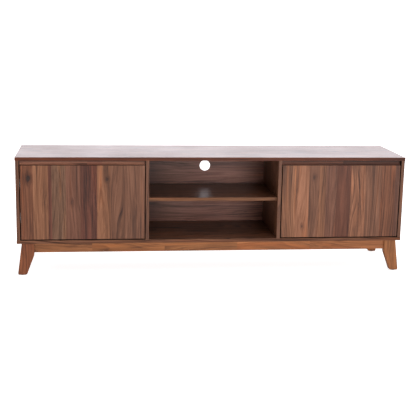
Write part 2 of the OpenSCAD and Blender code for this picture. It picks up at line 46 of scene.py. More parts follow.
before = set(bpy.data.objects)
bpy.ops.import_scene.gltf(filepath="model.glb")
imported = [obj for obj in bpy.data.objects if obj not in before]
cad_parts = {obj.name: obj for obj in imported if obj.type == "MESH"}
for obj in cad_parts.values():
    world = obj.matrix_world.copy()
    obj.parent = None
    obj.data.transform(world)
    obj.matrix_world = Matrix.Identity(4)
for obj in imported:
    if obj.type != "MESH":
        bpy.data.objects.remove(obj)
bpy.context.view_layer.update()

# Lengths are in metres. X runs along the stand, the doors face -Y and the floor is at Z = 0.
X_AXIS = Vector((1, 0, 0))
Y_AXIS = Vector((0, 1, 0))
Z_AXIS = Vector((0, 0, 1))
SIDES = {"left": -1, "right": 1}
# Points closer than this are one point, and points this near a level are picked with it
WELD = 0.000005
NEAR = 0.001
# An edge runs along an axis when its direction has this much of it
ALONG = 0.99
# Edges at more than this angle are sharp, and others are shaded smooth
SHARP_ANGLE = math.radians(35)
SMOOTH_ANGLE = math.radians(38)
# How far a drill reaches out of the board
DRILL_OUT = 0.002
# Sides of the wide bores
WIDE_BORE_SIDES = 64


# ---------------------------------------------------------------------------------------------------
# Sizes and colours that a user would change
# ---------------------------------------------------------------------------------------------------

class TvStandSizes(bpy.types.PropertyGroup):
    """Small sizes that the frame leaves open."""

    board_ease: FloatProperty(
        name="Board edge", description="Width of the eased edge on the boards",
        default=0.0005, min=0.0, unit="LENGTH",
    )
    door_ease: FloatProperty(
        name="Door edge", description="Width of the eased edge round each door",
        default=0.0006, min=0.0, unit="LENGTH",
    )
    leg_round: FloatProperty(
        name="Leg edge", description="Radius of the rounding along the legs",
        default=0.0035, min=0.0, unit="LENGTH",
    )
    rail_round: FloatProperty(
        name="Rail edge", description="Radius of the rounding along the base rails",
        default=0.0020, min=0.0, unit="LENGTH",
    )
    metal_round: FloatProperty(
        name="Metal edge", description="Radius of the rounding on pressed metal",
        default=0.0003, min=0.0, unit="LENGTH",
    )
    bore_sides: IntProperty(
        name="Bore sides", description="Sides of a bored hole", default=40, min=12,
    )


class TvStandColours(bpy.types.PropertyGroup):
    """Colours of the finishes, in linear light."""

    walnut: FloatVectorProperty(
        name="Walnut", description="Middle tone of the walnut boards", subtype="COLOR",
        size=3, default=(0.100, 0.038, 0.019), min=0.0, max=1.0,
    )
    solid_wood: FloatVectorProperty(
        name="Base wood", description="Middle tone of the solid wood base", subtype="COLOR",
        size=3, default=(0.235, 0.078, 0.022), min=0.0, max=1.0,
    )
    pale_wood: FloatVectorProperty(
        name="Pale wood", description="Tone of the dowels and corner blocks", subtype="COLOR",
        size=3, default=(0.560, 0.380, 0.210), min=0.0, max=1.0,
    )
    fibreboard: FloatVectorProperty(
        name="Fibreboard", description="Tone of the raw rear face of the back boards", subtype="COLOR",
        size=3, default=(0.260, 0.150, 0.080), min=0.0, max=1.0,
    )
    steel: FloatVectorProperty(
        name="Hinge steel", description="Colour of the plated hinges", subtype="COLOR",
        size=3, default=(0.300, 0.295, 0.285), min=0.0, max=1.0,
    )
    zinc: FloatVectorProperty(
        name="Screw zinc", description="Colour of the plated screws", subtype="COLOR",
        size=3, default=(0.620, 0.600, 0.520), min=0.0, max=1.0,
    )
    floor: FloatVectorProperty(
        name="Floor", description="Tone of the plain floor", subtype="COLOR",
        size=3, default=(0.900, 0.900, 0.900), min=0.0, max=1.0,
    )


class TvStandLight(bpy.types.PropertyGroup):
    """Strength of the studio light."""

    sky: FloatProperty(
        name="Room light", description="Strength of the even light all round", default=0.66, min=0.0,
    )
    front: FloatProperty(
        name="Front light", description="Power of the soft light before the stand",
        default=124.0, min=0.0, unit="POWER",
    )
    above: FloatProperty(
        name="Top light", description="Power of the soft light over the stand",
        default=40.0, min=0.0, unit="POWER",
    )
    behind: FloatProperty(
        name="Rear light", description="Power of the soft light that the top reflects",
        default=180.0, min=0.0, unit="POWER",
    )


# ---------------------------------------------------------------------------------------------------
# Modelling helpers
# ---------------------------------------------------------------------------------------------------

def rest_selection():
    """Leaves edit mode and deselects every object."""
    active = bpy.context.object
    if active is not None and active.mode != "OBJECT":
        bpy.ops.object.mode_set(mode="OBJECT")
    bpy.ops.object.select_all(action="DESELECT")


def only(piece):
    """Makes a piece the only selected object, and the active one."""
    rest_selection()
    piece.select_set(True)
    bpy.context.view_layer.objects.active = piece


def settle(piece):
    """Puts a piece's place, turn and size into its mesh."""
    only(piece)
    bpy.ops.object.transform_apply(location=True, rotation=True, scale=True)
    return piece


def add_block(name, low, high):
    """A block between two corners, ready to be shaped."""
    rest_selection()
    low = Vector(low)
    high = Vector(high)
    bpy.ops.mesh.primitive_cube_add(size=1, location=(low + high) / 2)
    piece = bpy.context.object
    piece.name = name
    piece.scale = high - low
    return settle(piece)


def add_rod(name, start, end, radius, sides):
    """A round bar from one point to another, along an axis."""
    rest_selection()
    start = Vector(start)
    end = Vector(end)
    run = end - start
    bpy.ops.mesh.primitive_cylinder_add(
        vertices=sides, radius=radius, depth=run.length, location=(start + end) / 2,
    )
    piece = bpy.context.object
    piece.name = name
    piece.rotation_mode = "QUATERNION"
    piece.rotation_quaternion = run.to_track_quat("Z", "Y")
    return settle(piece)


def start_picking(piece, kind):
    """Enters edit mode with nothing selected, and returns the mesh."""
    only(piece)
    bpy.ops.object.mode_set(mode="EDIT")
    bpy.ops.mesh.select_mode(type=kind)
    bpy.ops.mesh.select_all(action="DESELECT")
    return bmesh.from_edit_mesh(piece.data)


def pick_edges(piece, test):
    """Selects only the edges that pass the test, in edit mode."""
    mesh = start_picking(piece, "EDGE")
    for edge in mesh.edges:
        first, second = (v.co for v in edge.verts)
        if test(edge, (first + second) / 2, (second - first).normalized()):
            edge.select_set(True)
    bmesh.update_edit_mesh(piece.data)


def pick_faces(piece, test):
    """Selects only the faces that pass the test, in edit mode."""
    mesh = start_picking(piece, "FACE")
    for face in mesh.faces:
        face.select_set(test(face.normal))
    bmesh.update_edit_mesh(piece.data)


def pick_points(piece, test):
    """Selects only the points that pass the test, in edit mode."""
    mesh = start_picking(piece, "VERT")
    for point in mesh.verts:
        point.select_set(test(point.co))
    mesh.select_flush_mode()
    bmesh.update_edit_mesh(piece.data)


def round_edges(piece, width, segments=3, test=None):
    """Rounds the sharp edges of a piece, or only those that also pass the test."""
    def wanted(edge, middle, direction):
        if len(edge.link_faces) != 2 or edge.calc_face_angle(0) <= SHARP_ANGLE:
            return False
        return test is None or test(middle, direction)

    pick_edges(piece, wanted)
    bpy.ops.mesh.bevel(offset=width, segments=segments, profile=0.5, affect="EDGES", clamp_overlap=True)
    bpy.ops.object.mode_set(mode="OBJECT")
    return piece


def soften(piece, width):
    """Rounds the sharp edges of a piece with a bevel modifier, and applies it."""
    only(piece)
    bevel = piece.modifiers.new("Edges", "BEVEL")
    bevel.width = width
    bevel.segments = 2
    bevel.limit_method = "ANGLE"
    bevel.angle_limit = math.radians(40)
    bevel.use_clamp_overlap = True
    bpy.ops.object.modifier_apply(modifier=bevel.name)


def join(pieces, name):
    """Joins several meshes into one piece."""
    rest_selection()
    for piece in pieces:
        piece.select_set(True)
    bpy.context.view_layer.objects.active = pieces[0]
    if len(pieces) > 1:
        bpy.ops.object.join()
    whole = bpy.context.object
    whole.name = name
    return whole


def combine(piece, tool, operation):
    """Adds or cuts away a tool shape with a boolean modifier, and removes the tool."""
    only(piece)
    boolean = piece.modifiers.new("Shape", "BOOLEAN")
    boolean.operation = operation
    boolean.solver = "EXACT"
    boolean.object = tool
    bpy.ops.object.modifier_apply(modifier=boolean.name)
    bpy.data.objects.remove(tool)


def bore(piece, holes, sides):
    """Bores round holes, each given as (start, end, radius)."""
    drills = [add_rod("drill", start, end, radius, sides) for start, end, radius in holes]
    combine(piece, join(drills, "drills"), "DIFFERENCE")


def duplicate(source, name, placement):
    """A copy of a piece with its own mesh, moved by a matrix."""
    only(source)
    bpy.ops.object.duplicate(linked=False)
    piece = bpy.context.object
    piece.name = name
    piece.matrix_world = placement @ piece.matrix_world
    settle(piece)
    if placement.determinant() < 0:
        face_outwards(piece)
    return piece


def copies_of(source, name, placements):
    """Copies a piece to each placement, joins the copies and removes the piece."""
    copies = [duplicate(source, f"{name}_copy", placement) for placement in placements]
    bpy.data.objects.remove(source)
    return join(copies, name)


def face_outwards(piece):
    """Turns every face of a closed piece outwards."""
    only(piece)
    bpy.ops.object.mode_set(mode="EDIT")
    bpy.ops.mesh.select_all(action="SELECT")
    bpy.ops.mesh.normals_make_consistent(inside=False)
    bpy.ops.object.mode_set(mode="OBJECT")


def merged_copy(node, name):
    """A copy of a frame node with its loose triangles merged and its flat faces made whole."""
    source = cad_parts[node]
    piece = source.copy()
    piece.data = source.data.copy()
    piece.name = name
    piece.parent = None
    for key in list(piece.keys()):
        if key.startswith("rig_"):
            del piece[key]
    bpy.context.scene.collection.objects.link(piece)
    only(piece)
    bpy.ops.mesh.customdata_custom_splitnormals_clear()
    bpy.ops.object.mode_set(mode="EDIT")
    bpy.ops.mesh.select_all(action="SELECT")
    bpy.ops.mesh.remove_doubles(threshold=WELD)
    bpy.ops.mesh.dissolve_limited(angle_limit=math.radians(1))
    bpy.ops.object.mode_set(mode="OBJECT")
    piece.data.materials.clear()
    return piece


def solids_of(node):
    """The low and high corners of each separate solid in a frame node, from left to right."""
    copy = bmesh.new()
    copy.from_mesh(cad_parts[node].data)
    bmesh.ops.remove_doubles(copy, verts=copy.verts, dist=WELD)
    copy.verts.ensure_lookup_table()
    waiting = set(copy.verts)
    corners = []
    while waiting:
        island = {waiting.pop()}
        edge_of_island = list(island)
        while edge_of_island:
            point = edge_of_island.pop()
            for edge in point.link_edges:
                other = edge.other_vert(point)
                if other not in island:
                    island.add(other)
                    edge_of_island.append(other)
        waiting -= island
        low = Vector([min(v.co[i] for v in island) for i in range(3)])
        high = Vector([max(v.co[i] for v in island) for i in range(3)])
        corners.append((low, high))
    copy.free()
    return sorted(corners, key=lambda pair: tuple(round(c, 4) for c in pair[0]))


def finish_piece(piece, body, finish, node):
    """Shades a piece, gives it its finish and body, and stands it in for its frame node."""
    only(piece)
    bpy.ops.object.shade_smooth_by_angle(angle=SMOOTH_ANGLE)
    weight = piece.modifiers.new("Flat faces", "WEIGHTED_NORMAL")
    weight.keep_sharp = True
    weight.weight = 90
    bpy.ops.object.modifier_apply(modifier=weight.name)
    piece.data.materials.clear()
    piece.data.materials.append(finish_material(finish))
    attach(piece, body)
    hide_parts(node)


# ---------------------------------------------------------------------------------------------------
# Material helpers
# ---------------------------------------------------------------------------------------------------

def tone(red, green, blue):
    """A linear colour from screen values of 0 to 1."""
    def to_linear(value):
        if value <= 0.04045:
            return value / 12.92
        return ((value + 0.055) / 1.055) ** 2.4
    return (to_linear(red), to_linear(green), to_linear(blue), 1.0)


def opaque(colour):
    """A colour with full alpha."""
    return (*colour, 1.0)


def feed(tree, node, inputs):
    """Sets a node's inputs: a socket is linked, and any other value is set."""
    for key, value in inputs.items():
        if isinstance(value, bpy.types.NodeSocket):
            tree.links.new(value, node.inputs[key])
        else:
            node.inputs[key].default_value = value


def add_node(tree, kind, inputs, **settings):
    """Adds a node with its settings and inputs."""
    node = tree.nodes.new(kind)
    for key, value in settings.items():
        setattr(node, key, value)
    feed(tree, node, inputs)
    return node


def math_of(tree, operation, first, second=0.0, third=0.0, clamp=False):
    """The output of a Math node."""
    node = add_node(tree, "ShaderNodeMath", {0: first, 1: second, 2: third}, operation=operation)
    node.use_clamp = clamp
    return node.outputs[0]


def times(tree, first, second, clamp=False):
    """One value times another."""
    return math_of(tree, "MULTIPLY", first, second, clamp=clamp)


def times_plus(tree, first, second, third):
    """One value times another, plus a third."""
    return math_of(tree, "MULTIPLY_ADD", first, second, third)


def axes_of(tree, vector):
    """The X, Y and Z values of a vector."""
    return tuple(add_node(tree, "ShaderNodeSeparateXYZ", {0: vector}).outputs)


def vector_of(tree, operation, first, second=(0.0, 0.0, 0.0)):
    """The vector output of a Vector Math node."""
    return add_node(tree, "ShaderNodeVectorMath", {0: first, 1: second}, operation=operation).outputs[0]


def length_of(tree, vector):
    """The length of a vector."""
    return add_node(tree, "ShaderNodeVectorMath", {0: vector}, operation="LENGTH").outputs["Value"]


def scaled(tree, vector, scale):
    """A vector multiplied along its three axes."""
    return vector_of(tree, "MULTIPLY", vector, scale)


def shifted(tree, vector, shift):
    """A vector moved by another."""
    return vector_of(tree, "ADD", vector, shift)


def noise_of(tree, vector, scale, detail=2.0, roughness=0.5):
    """The grey value of a noise."""
    node = add_node(
        tree, "ShaderNodeTexNoise",
        {"Vector": vector, "Scale": scale, "Detail": detail, "Roughness": roughness},
    )
    return node.outputs["Fac"]


def stretched_noise(tree, vector, stretch, detail=2.0, roughness=0.5):
    """The grey value of a noise that is drawn out differently along each axis."""
    return noise_of(tree, scaled(tree, vector, stretch), 1.0, detail, roughness)


def spread(tree, value, low, high, new_low=0.0, new_high=1.0, smooth_step=False):
    """A value moved from one range to another, and held inside it."""
    node = add_node(
        tree, "ShaderNodeMapRange",
        {"Value": value, "From Min": low, "From Max": high, "To Min": new_low, "To Max": new_high},
        clamp=True,
    )
    if smooth_step:
        node.interpolation_type = "SMOOTHSTEP"
    return node.outputs[0]


def tinted(tree, colour, tint):
    """A colour multiplied by another."""
    return blend_colours(tree, 1.0, colour, tint, "MULTIPLY")


def blend_colours(tree, factor, first, second, mode="MIX"):
    """The colour output of a Mix node, whose colours are its inputs 6 and 7."""
    node = tree.nodes.new("ShaderNodeMix")
    node.data_type = "RGBA"
    node.blend_type = mode
    feed(tree, node, {0: factor, 6: first, 7: second})
    return node.outputs[2]


def step_ramp(tree, factor, stops, interpolation="CONSTANT"):
    """The colour of a ramp with the given (position, colour) stops."""
    node = tree.nodes.new("ShaderNodeValToRGB")
    tree.links.new(factor, node.inputs[0])
    ramp = node.color_ramp
    ramp.interpolation = interpolation
    while len(ramp.elements) < len(stops):
        ramp.elements.new(1.0)
    for element, (position, colour) in zip(ramp.elements, stops):
        element.position = position
        element.color = colour
    return node.outputs[0]


def new_group(name, inputs, outputs):
    """A shader node group with (name, kind, default) inputs and (name, kind) outputs."""
    group = bpy.data.node_groups.new(name, "ShaderNodeTree")
    kinds = {"value": "NodeSocketFloat", "colour": "NodeSocketColor", "vector": "NodeSocketVector"}
    for socket_name, kind, default in inputs:
        socket = group.interface.new_socket(socket_name, in_out="INPUT", socket_type=kinds[kind])
        if default is not None:
            socket.default_value = default
    for socket_name, kind in outputs:
        group.interface.new_socket(socket_name, in_out="OUTPUT", socket_type=kinds[kind])
    entry = group.nodes.new("NodeGroupInput")
    leave = group.nodes.new("NodeGroupOutput")
    return group, entry.outputs, leave.inputs


def use_group(tree, name, inputs):
    """Places a shared group in a material with its own values, and returns its outputs."""
    node = tree.nodes.new("ShaderNodeGroup")
    node.node_tree = shared_group(name)
    feed(tree, node, inputs)
    return node.outputs


def build_wood_grain():
    """Growth rings, fibres and pores of a sawn board whose grain runs along X of the vector."""
    tree, given, result = new_group(
        "wood_grain",
        [
            ("Vector", "vector", None),
            ("Colour", "colour", (0.2, 0.1, 0.05, 1.0)),
            ("Ring Spacing", "value", 0.008),
            ("Slope", "value", 0.04),
            ("Figure", "value", 0.4),
            ("Fibre", "value", 0.4),
            ("Streaks", "value", 0.3),
            ("Pores", "value", 0.3),
            ("Sheen Roughness", "value", 0.4),
        ],
        [("Colour", "colour"), ("Roughness", "value"), ("Height", "value")],
    )
    place = given["Vector"]
    # Slow wander of the rings, much longer along the grain than across it
    wander = add_node(
        tree, "ShaderNodeTexNoise",
        {"Vector": scaled(tree, place, (1.5, 11.0, 11.0)), "Scale": 1.0, "Detail": 1.5, "Roughness": 0.4},
    )
    centred = shifted(tree, wander.outputs["Color"], (-0.5, -0.5, -0.5))
    bent = shifted(tree, place, scaled(tree, centred, (0.0, 0.10, 0.10)))
    along, across, through = axes_of(tree, bent)
    # The board's face cuts the rings at a slight slope, which draws long arches
    depth = times_plus(tree, along, given["Slope"], 0.035)
    depth = math_of(tree, "ADD", depth, through)
    ring_place = add_node(tree, "ShaderNodeCombineXYZ", {0: 0.0, 1: across, 2: depth})
    turns = math_of(tree, "DIVIDE", length_of(tree, ring_place.outputs[0]), given["Ring Spacing"])
    # Good and poor years widen and narrow the rings
    years = add_node(
        tree, "ShaderNodeTexNoise", {"W": times(tree, turns, 0.31), "Scale": 1.0, "Detail": 3.0},
        noise_dimensions="1D",
    )
    turns = times_plus(tree, years.outputs["Fac"], 3.2, turns)
    cycle = math_of(tree, "FRACT", turns)
    # Early wood darkens slowly, and late wood ends in a line
    rise = math_of(tree, "POWER", cycle, 2.6)
    fall = spread(tree, cycle, 0.86, 1.0, 1.0, 0.0, smooth_step=True)
    ring = times(tree, rise, fall)
    # Each ring differs in strength, and the lines fade in and out along the board
    strong = spread(tree, stretched_noise(tree, bent, (1.5, 34.0, 34.0), 2.0), 0.35, 0.62, 0.25, 1.0)
    ring = times(tree, ring, strong)
    # Fibres, from broad soft bands to hair lines
    band = spread(tree, stretched_noise(tree, bent, (1.6, 26.0, 26.0), 3.0, 0.55), 0.30, 0.70)
    broad = spread(tree, stretched_noise(tree, bent, (3.0, 130.0, 130.0), 3.0, 0.6), 0.32, 0.68)
    fine = spread(tree, stretched_noise(tree, bent, (16.0, 800.0, 800.0), 4.0, 0.6), 0.25, 0.75)
    fibre = times_plus(tree, band, 0.36, times(tree, broad, 0.42))
    fibre = times_plus(tree, fine, 0.22, fibre)
    # Short open pores
    pores = stretched_noise(tree, place, (70.0, 2600.0, 2600.0), 1.0, 0.5)
    pores = spread(tree, pores, 0.66, 0.74)
    pores = times(tree, pores, given["Pores"])
    # Tone: a level of 0.5 keeps the board's own colour
    lift = times(tree, math_of(tree, "SUBTRACT", fibre, 0.5), given["Fibre"])
    sink = times(tree, math_of(tree, "SUBTRACT", ring, 0.16), given["Figure"])
    level = math_of(tree, "ADD", math_of(tree, "SUBTRACT", lift, sink), 0.5, clamp=True)
    dark = tinted(tree, given["Colour"], (0.20, 0.17, 0.19, 1.0))
    light = tinted(tree, given["Colour"], (1.75, 1.95, 2.15, 1.0))
    colour = blend_colours(tree, spread(tree, level, 0.0, 0.5), dark, given["Colour"])
    colour = blend_colours(tree, spread(tree, level, 0.5, 1.0), colour, light)
    # Warm sap streaks
    sap = spread(tree, stretched_noise(tree, bent, (0.9, 42.0, 42.0), 2.0), 0.56, 0.68)
    warm = tinted(tree, colour, (1.55, 1.22, 0.85, 1.0))
    colour = blend_colours(tree, times(tree, sap, given["Streaks"]), colour, warm)
    pitted = tinted(tree, colour, (0.3, 0.25, 0.22, 1.0))
    colour = blend_colours(tree, pores, colour, pitted)
    tree.links.new(colour, result["Colour"])
    rough = times_plus(tree, math_of(tree, "SUBTRACT", fine, 0.5), -0.12, given["Sheen Roughness"])
    rough = math_of(tree, "ADD", rough, times(tree, pores, 0.2))
    tree.links.new(rough, result["Roughness"])
    height = math_of(tree, "SUBTRACT", times(tree, fibre, 0.5), times(tree, pores, 0.9))
    tree.links.new(height, result["Height"])


def build_knot():
    """A knot: a dark eye at a centre, with the grain bent round it."""
    tree, given, result = new_group(
        "knot",
        [
            ("Vector", "vector", None),
            ("Place", "vector", None),
            ("Centre", "vector", None),
            ("Reach", "vector", (0.02, 0.02, 0.02)),
        ],
        [("Vector", "vector"), ("Eye", "value"), ("Shade", "value")],
    )
    away = vector_of(tree, "SUBTRACT", given["Place"], given["Centre"])
    unit = vector_of(tree, "DIVIDE", away, given["Reach"])
    ragged = noise_of(tree, given["Place"], 45.0, 4.0, 0.6)
    reach = length_of(tree, unit)
    reach = times_plus(tree, math_of(tree, "SUBTRACT", ragged, 0.5), 1.3, reach)
    pull = spread(tree, reach, 0.0, 2.6, 1.0, 0.0, smooth_step=True)
    # The grain is pushed to the side that it passes on
    side = vector_of(tree, "NORMALIZE", unit)
    push = add_node(
        tree, "ShaderNodeVectorMath", {0: side, "Scale": times(tree, pull, -0.008)}, operation="SCALE",
    )
    tree.links.new(shifted(tree, given["Vector"], push.outputs[0]), result["Vector"])
    tree.links.new(spread(tree, reach, 0.35, 0.9, 1.0, 0.0, smooth_step=True), result["Eye"])
    tree.links.new(spread(tree, reach, 0.5, 2.4, 1.0, 0.0, smooth_step=True), result["Shade"])


def build_edge_wear():
    """Lightens or darkens the outer edges of a piece where hands and dusters rub it."""
    tree, given, result = new_group(
        "edge_wear",
        [
            ("Vector", "vector", None),
            ("Colour", "colour", (0.2, 0.1, 0.05, 1.0)),
            ("Worn Colour", "colour", (0.3, 0.2, 0.1, 1.0)),
            ("Width", "value", 0.0015),
            ("Amount", "value", 0.5),
        ],
        [("Colour", "colour")],
    )
    rounded = add_node(tree, "ShaderNodeBevel", {"Radius": given["Width"]}, samples=4)
    flat = tree.nodes.new("ShaderNodeNewGeometry")
    turned = add_node(
        tree, "ShaderNodeVectorMath", {0: rounded.outputs[0], 1: flat.outputs["Normal"]},
        operation="DOT_PRODUCT",
    )
    edge = spread(tree, turned.outputs["Value"], 0.995, 0.90)
    patches = spread(tree, noise_of(tree, given["Vector"], 22.0, 4.0, 0.6), 0.35, 0.65)
    mask = times(tree, times(tree, edge, patches), given["Amount"], clamp=True)
    tree.links.new(blend_colours(tree, mask, given["Colour"], given["Worn Colour"]), result["Colour"])


def build_handling():
    """Faint smears and a fine haze of dust, as changes of colour and gloss."""
    tree, given, result = new_group(
        "handling",
        [
            ("Vector", "vector", None),
            ("Colour", "colour", (0.2, 0.1, 0.05, 1.0)),
            ("Roughness", "value", 0.4),
            ("Smears", "value", 0.06),
            ("Dust", "value", 0.03),
        ],
        [("Colour", "colour"), ("Roughness", "value")],
    )
    broad = spread(tree, noise_of(tree, given["Vector"], 5.0, 4.0, 0.55), 0.3, 0.7)
    strokes = stretched_noise(tree, given["Vector"], (9.0, 30.0, 22.0), 5.0, 0.65)
    smear = times(tree, math_of(tree, "SUBTRACT", strokes, 0.5), given["Smears"])
    smear = times_plus(tree, math_of(tree, "SUBTRACT", broad, 0.5), given["Smears"], smear)
    upward = axes_of(tree, tree.nodes.new("ShaderNodeNewGeometry").outputs["Normal"])[2]
    speck = spread(tree, noise_of(tree, given["Vector"], 420.0, 3.0, 0.7), 0.5, 0.75)
    haze = times_plus(tree, speck, 0.6, times(tree, broad, 0.4))
    dust = times(tree, haze, given["Dust"])
    dust = times(tree, dust, spread(tree, upward, 0.3, 0.95), clamp=True)
    colour = blend_colours(tree, dust, given["Colour"], (0.55, 0.52, 0.48, 1.0))
    tree.links.new(colour, result["Colour"])
    rough = math_of(tree, "ADD", given["Roughness"], smear)
    tree.links.new(math_of(tree, "ADD", rough, dust, clamp=True), result["Roughness"])


def build_strip_shift():
    """Moves the grain by a strip's own number, so that no two strips look alike."""
    tree, given, result = new_group(
        "strip_shift",
        [("Vector", "vector", None), ("Number", "value", 0.0)],
        [("Vector", "vector")],
    )
    random = add_node(
        tree, "ShaderNodeTexWhiteNoise", {"W": times(tree, given["Number"], 37.0)},
        noise_dimensions="1D",
    )
    shift = scaled(tree, shifted(tree, random.outputs["Color"], (-0.5, -0.5, -0.5)), (3.0, 0.10, 0.05))
    tree.links.new(shifted(tree, given["Vector"], shift), result["Vector"])


def build_metal_surface():
    """Fine pressing and plating marks on small metal parts."""
    tree, given, result = new_group(
        "metal_surface",
        [
            ("Vector", "vector", None),
            ("Colour", "colour", (0.5, 0.5, 0.5, 1.0)),
            ("Roughness", "value", 0.3),
            ("Tarnish", "value", 0.2),
        ],
        [("Colour", "colour"), ("Roughness", "value"), ("Height", "value")],
    )
    cloud = spread(tree, noise_of(tree, given["Vector"], 160.0, 4.0, 0.6), 0.3, 0.7)
    grain = noise_of(tree, given["Vector"], 2600.0, 3.0, 0.6)
    lines = stretched_noise(tree, given["Vector"], (300.0, 300.0, 4200.0), 2.0, 0.5)
    dull = times(tree, cloud, given["Tarnish"])
    tarnished = tinted(tree, given["Colour"], (0.45, 0.42, 0.36, 1.0))
    colour = blend_colours(tree, dull, given["Colour"], tarnished)
    tree.links.new(colour, result["Colour"])
    rough = times_plus(tree, lines, 0.12, given["Roughness"])
    tree.links.new(times_plus(tree, cloud, 0.12, rough), result["Roughness"])
    tree.links.new(times_plus(tree, grain, 0.5, times(tree, lines, 0.5)), result["Height"])


GROUP_BUILDERS = {
    "wood_grain": build_wood_grain,
    "knot": build_knot,
    "edge_wear": build_edge_wear,
    "handling": build_handling,
    "strip_shift": build_strip_shift,
    "metal_surface": build_metal_surface,
}


def shared_group(name):
    """A node group by name, built the first time that it is asked for."""
    if name not in bpy.data.node_groups:
        GROUP_BUILDERS[name]()
    return bpy.data.node_groups[name]


def start_material(name):
    """A material's node tree, its shader and the object coordinates."""
    material = bpy.data.materials.new(name)
    material.use_nodes = True
    tree = material.node_tree
    tree.nodes.clear()
    output = tree.nodes.new("ShaderNodeOutputMaterial")
    shader = tree.nodes.new("ShaderNodeBsdfPrincipled")
    tree.links.new(shader.outputs[0], output.inputs["Surface"])
    place = tree.nodes.new("ShaderNodeTexCoord")
    return tree, shader, place.outputs["Object"]


def add_bump(tree, shader, height, distance, strength):
    """Feeds a height into the shader's normal."""
    bump = add_node(tree, "ShaderNodeBump", {"Height": height, "Distance": distance, "Strength": strength})
    tree.links.new(bump.outputs[0], shader.inputs["Normal"])


def add_handling(tree, shader, place, colour, roughness, **amounts):
    """Feeds a colour and a roughness into the shader, with smears and dust over them."""
    handled = use_group(tree, "handling", {
        "Vector": place, "Colour": colour, "Roughness": roughness, **amounts,
    })
    tree.links.new(handled["Colour"], shader.inputs["Base Color"])
    tree.links.new(handled["Roughness"], shader.inputs["Roughness"])


# Turns that bring a board's grain direction onto X of the grain pattern
GRAIN_ALONG_X = (0.0, 0.0, 0.0)
GRAIN_ALONG_Y = (0.0, 0.0, math.radians(-90))
GRAIN_ALONG_Z = (0.0, math.radians(90), 0.0)

# Colours of a knot's surround and eye, and of wood that is rubbed bare at its edges
KNOT_STAIN = (0.45, 0.38, 0.36, 1.0)
KNOT_EYE = (0.018, 0.009, 0.007, 1.0)
RUBBED_WALNUT = (0.30, 0.15, 0.08, 1.0)
RUBBED_BASE_WOOD = (0.45, 0.22, 0.10, 1.0)


def wood_material(name, colour, turn, shift=(0.0, 0.0, 0.0), knots=(), wear=0.35, worn=RUBBED_WALNUT,
                  ring=0.010, slope=0.05, figure=0.8, fibre=1.05, streaks=0.35, pores=0.35, rough=0.42,
                  dust=0.03, specular=0.22):
    """A wood finish. The colour is a tone, or a function of the tree and place that gives two sockets:
    the colour, and the number of the strip or None. A knot is its centre, reach and depth of shade."""
    tree, shader, place = start_material(name)
    base, number = colour(tree, place) if callable(colour) else (colour, None)
    vector = place
    for centre, reach, shade in knots:
        knot = use_group(tree, "knot", {"Vector": vector, "Place": place, "Centre": centre, "Reach": reach})
        vector = knot["Vector"]
        stained = tinted(tree, base, KNOT_STAIN)
        base = blend_colours(tree, times(tree, knot["Shade"], shade), base, stained)
        base = blend_colours(tree, times(tree, knot["Eye"], shade), base, KNOT_EYE)
    turned = add_node(tree, "ShaderNodeMapping", {"Vector": vector, "Rotation": turn, "Location": shift})
    vector = turned.outputs[0]
    if number is not None:
        vector = use_group(tree, "strip_shift", {"Vector": vector, "Number": number})["Vector"]
    grain = use_group(tree, "wood_grain", {
        "Vector": vector, "Colour": base, "Ring Spacing": ring, "Slope": slope, "Figure": figure,
        "Fibre": fibre, "Streaks": streaks, "Pores": pores, "Sheen Roughness": rough,
    })
    rubbed = use_group(tree, "edge_wear", {
        "Vector": place, "Colour": grain["Colour"], "Worn Colour": worn, "Amount": wear,
    })
    add_handling(tree, shader, place, rubbed["Colour"], grain["Roughness"], Dust=dust)
    shader.inputs["Specular IOR Level"].default_value = specular
    add_bump(tree, shader, grain["Height"], 0.0003, 0.35)


def strip_colours(low, high, strips):
    """A function that colours strips along X of a board, each given as (share, colour)."""
    def build(tree, place):
        share = spread(tree, axes_of(tree, place)[0], low, high)
        colour = step_ramp(tree, share, strips)
        greys = [(start, opaque([(i + 0.5) / len(strips)] * 3)) for i, (start, _) in enumerate(strips)]
        return colour, step_ramp(tree, share, greys)

    return build


# Tones of the veneer strips
RED_BROWN = tone(0.38, 0.22, 0.14)
TAN = tone(0.43, 0.27, 0.18)
GREY_TAN = tone(0.37, 0.25, 0.18)
WARM_BROWN = tone(0.35, 0.21, 0.15)
DEEP_RED = tone(0.32, 0.17, 0.12)
MID_BROWN = tone(0.37, 0.23, 0.16)
DUSKY = tone(0.38, 0.24, 0.17)
ORANGE_TAN = tone(0.43, 0.27, 0.18)
LIGHT_TAN = tone(0.46, 0.29, 0.20)
DARK_EDGE = tone(0.28, 0.16, 0.11)

LEFT_DOOR_STRIPS = [
    (0.00, RED_BROWN), (0.10, TAN), (0.22, DEEP_RED), (0.25, GREY_TAN), (0.36, WARM_BROWN),
    (0.48, DEEP_RED), (0.61, TAN), (0.72, MID_BROWN), (0.84, DUSKY),
]
RIGHT_DOOR_STRIPS = [
    (0.00, ORANGE_TAN), (0.11, LIGHT_TAN), (0.23, MID_BROWN), (0.31, TAN), (0.37, WARM_BROWN),
    (0.46, tone(0.32, 0.17, 0.11)), (0.58, LIGHT_TAN), (0.71, MID_BROWN), (0.84, RED_BROWN),
    (0.96, DARK_EDGE),
]
TOP_RAIL_STRIPS = [
    (0.00, tone(0.60, 0.39, 0.30)), (0.17, tone(0.48, 0.29, 0.22)), (0.21, tone(0.56, 0.36, 0.27)),
    (0.50, tone(0.39, 0.20, 0.11)), (0.84, tone(0.32, 0.15, 0.07)),
]
BASE_RAIL_STRIPS = [
    (0.00, tone(0.47, 0.285, 0.16)), (0.16, tone(0.50, 0.30, 0.16)), (0.36, tone(0.485, 0.295, 0.16)),
    (0.57, tone(0.52, 0.31, 0.17)), (0.78, tone(0.50, 0.295, 0.16)),
]
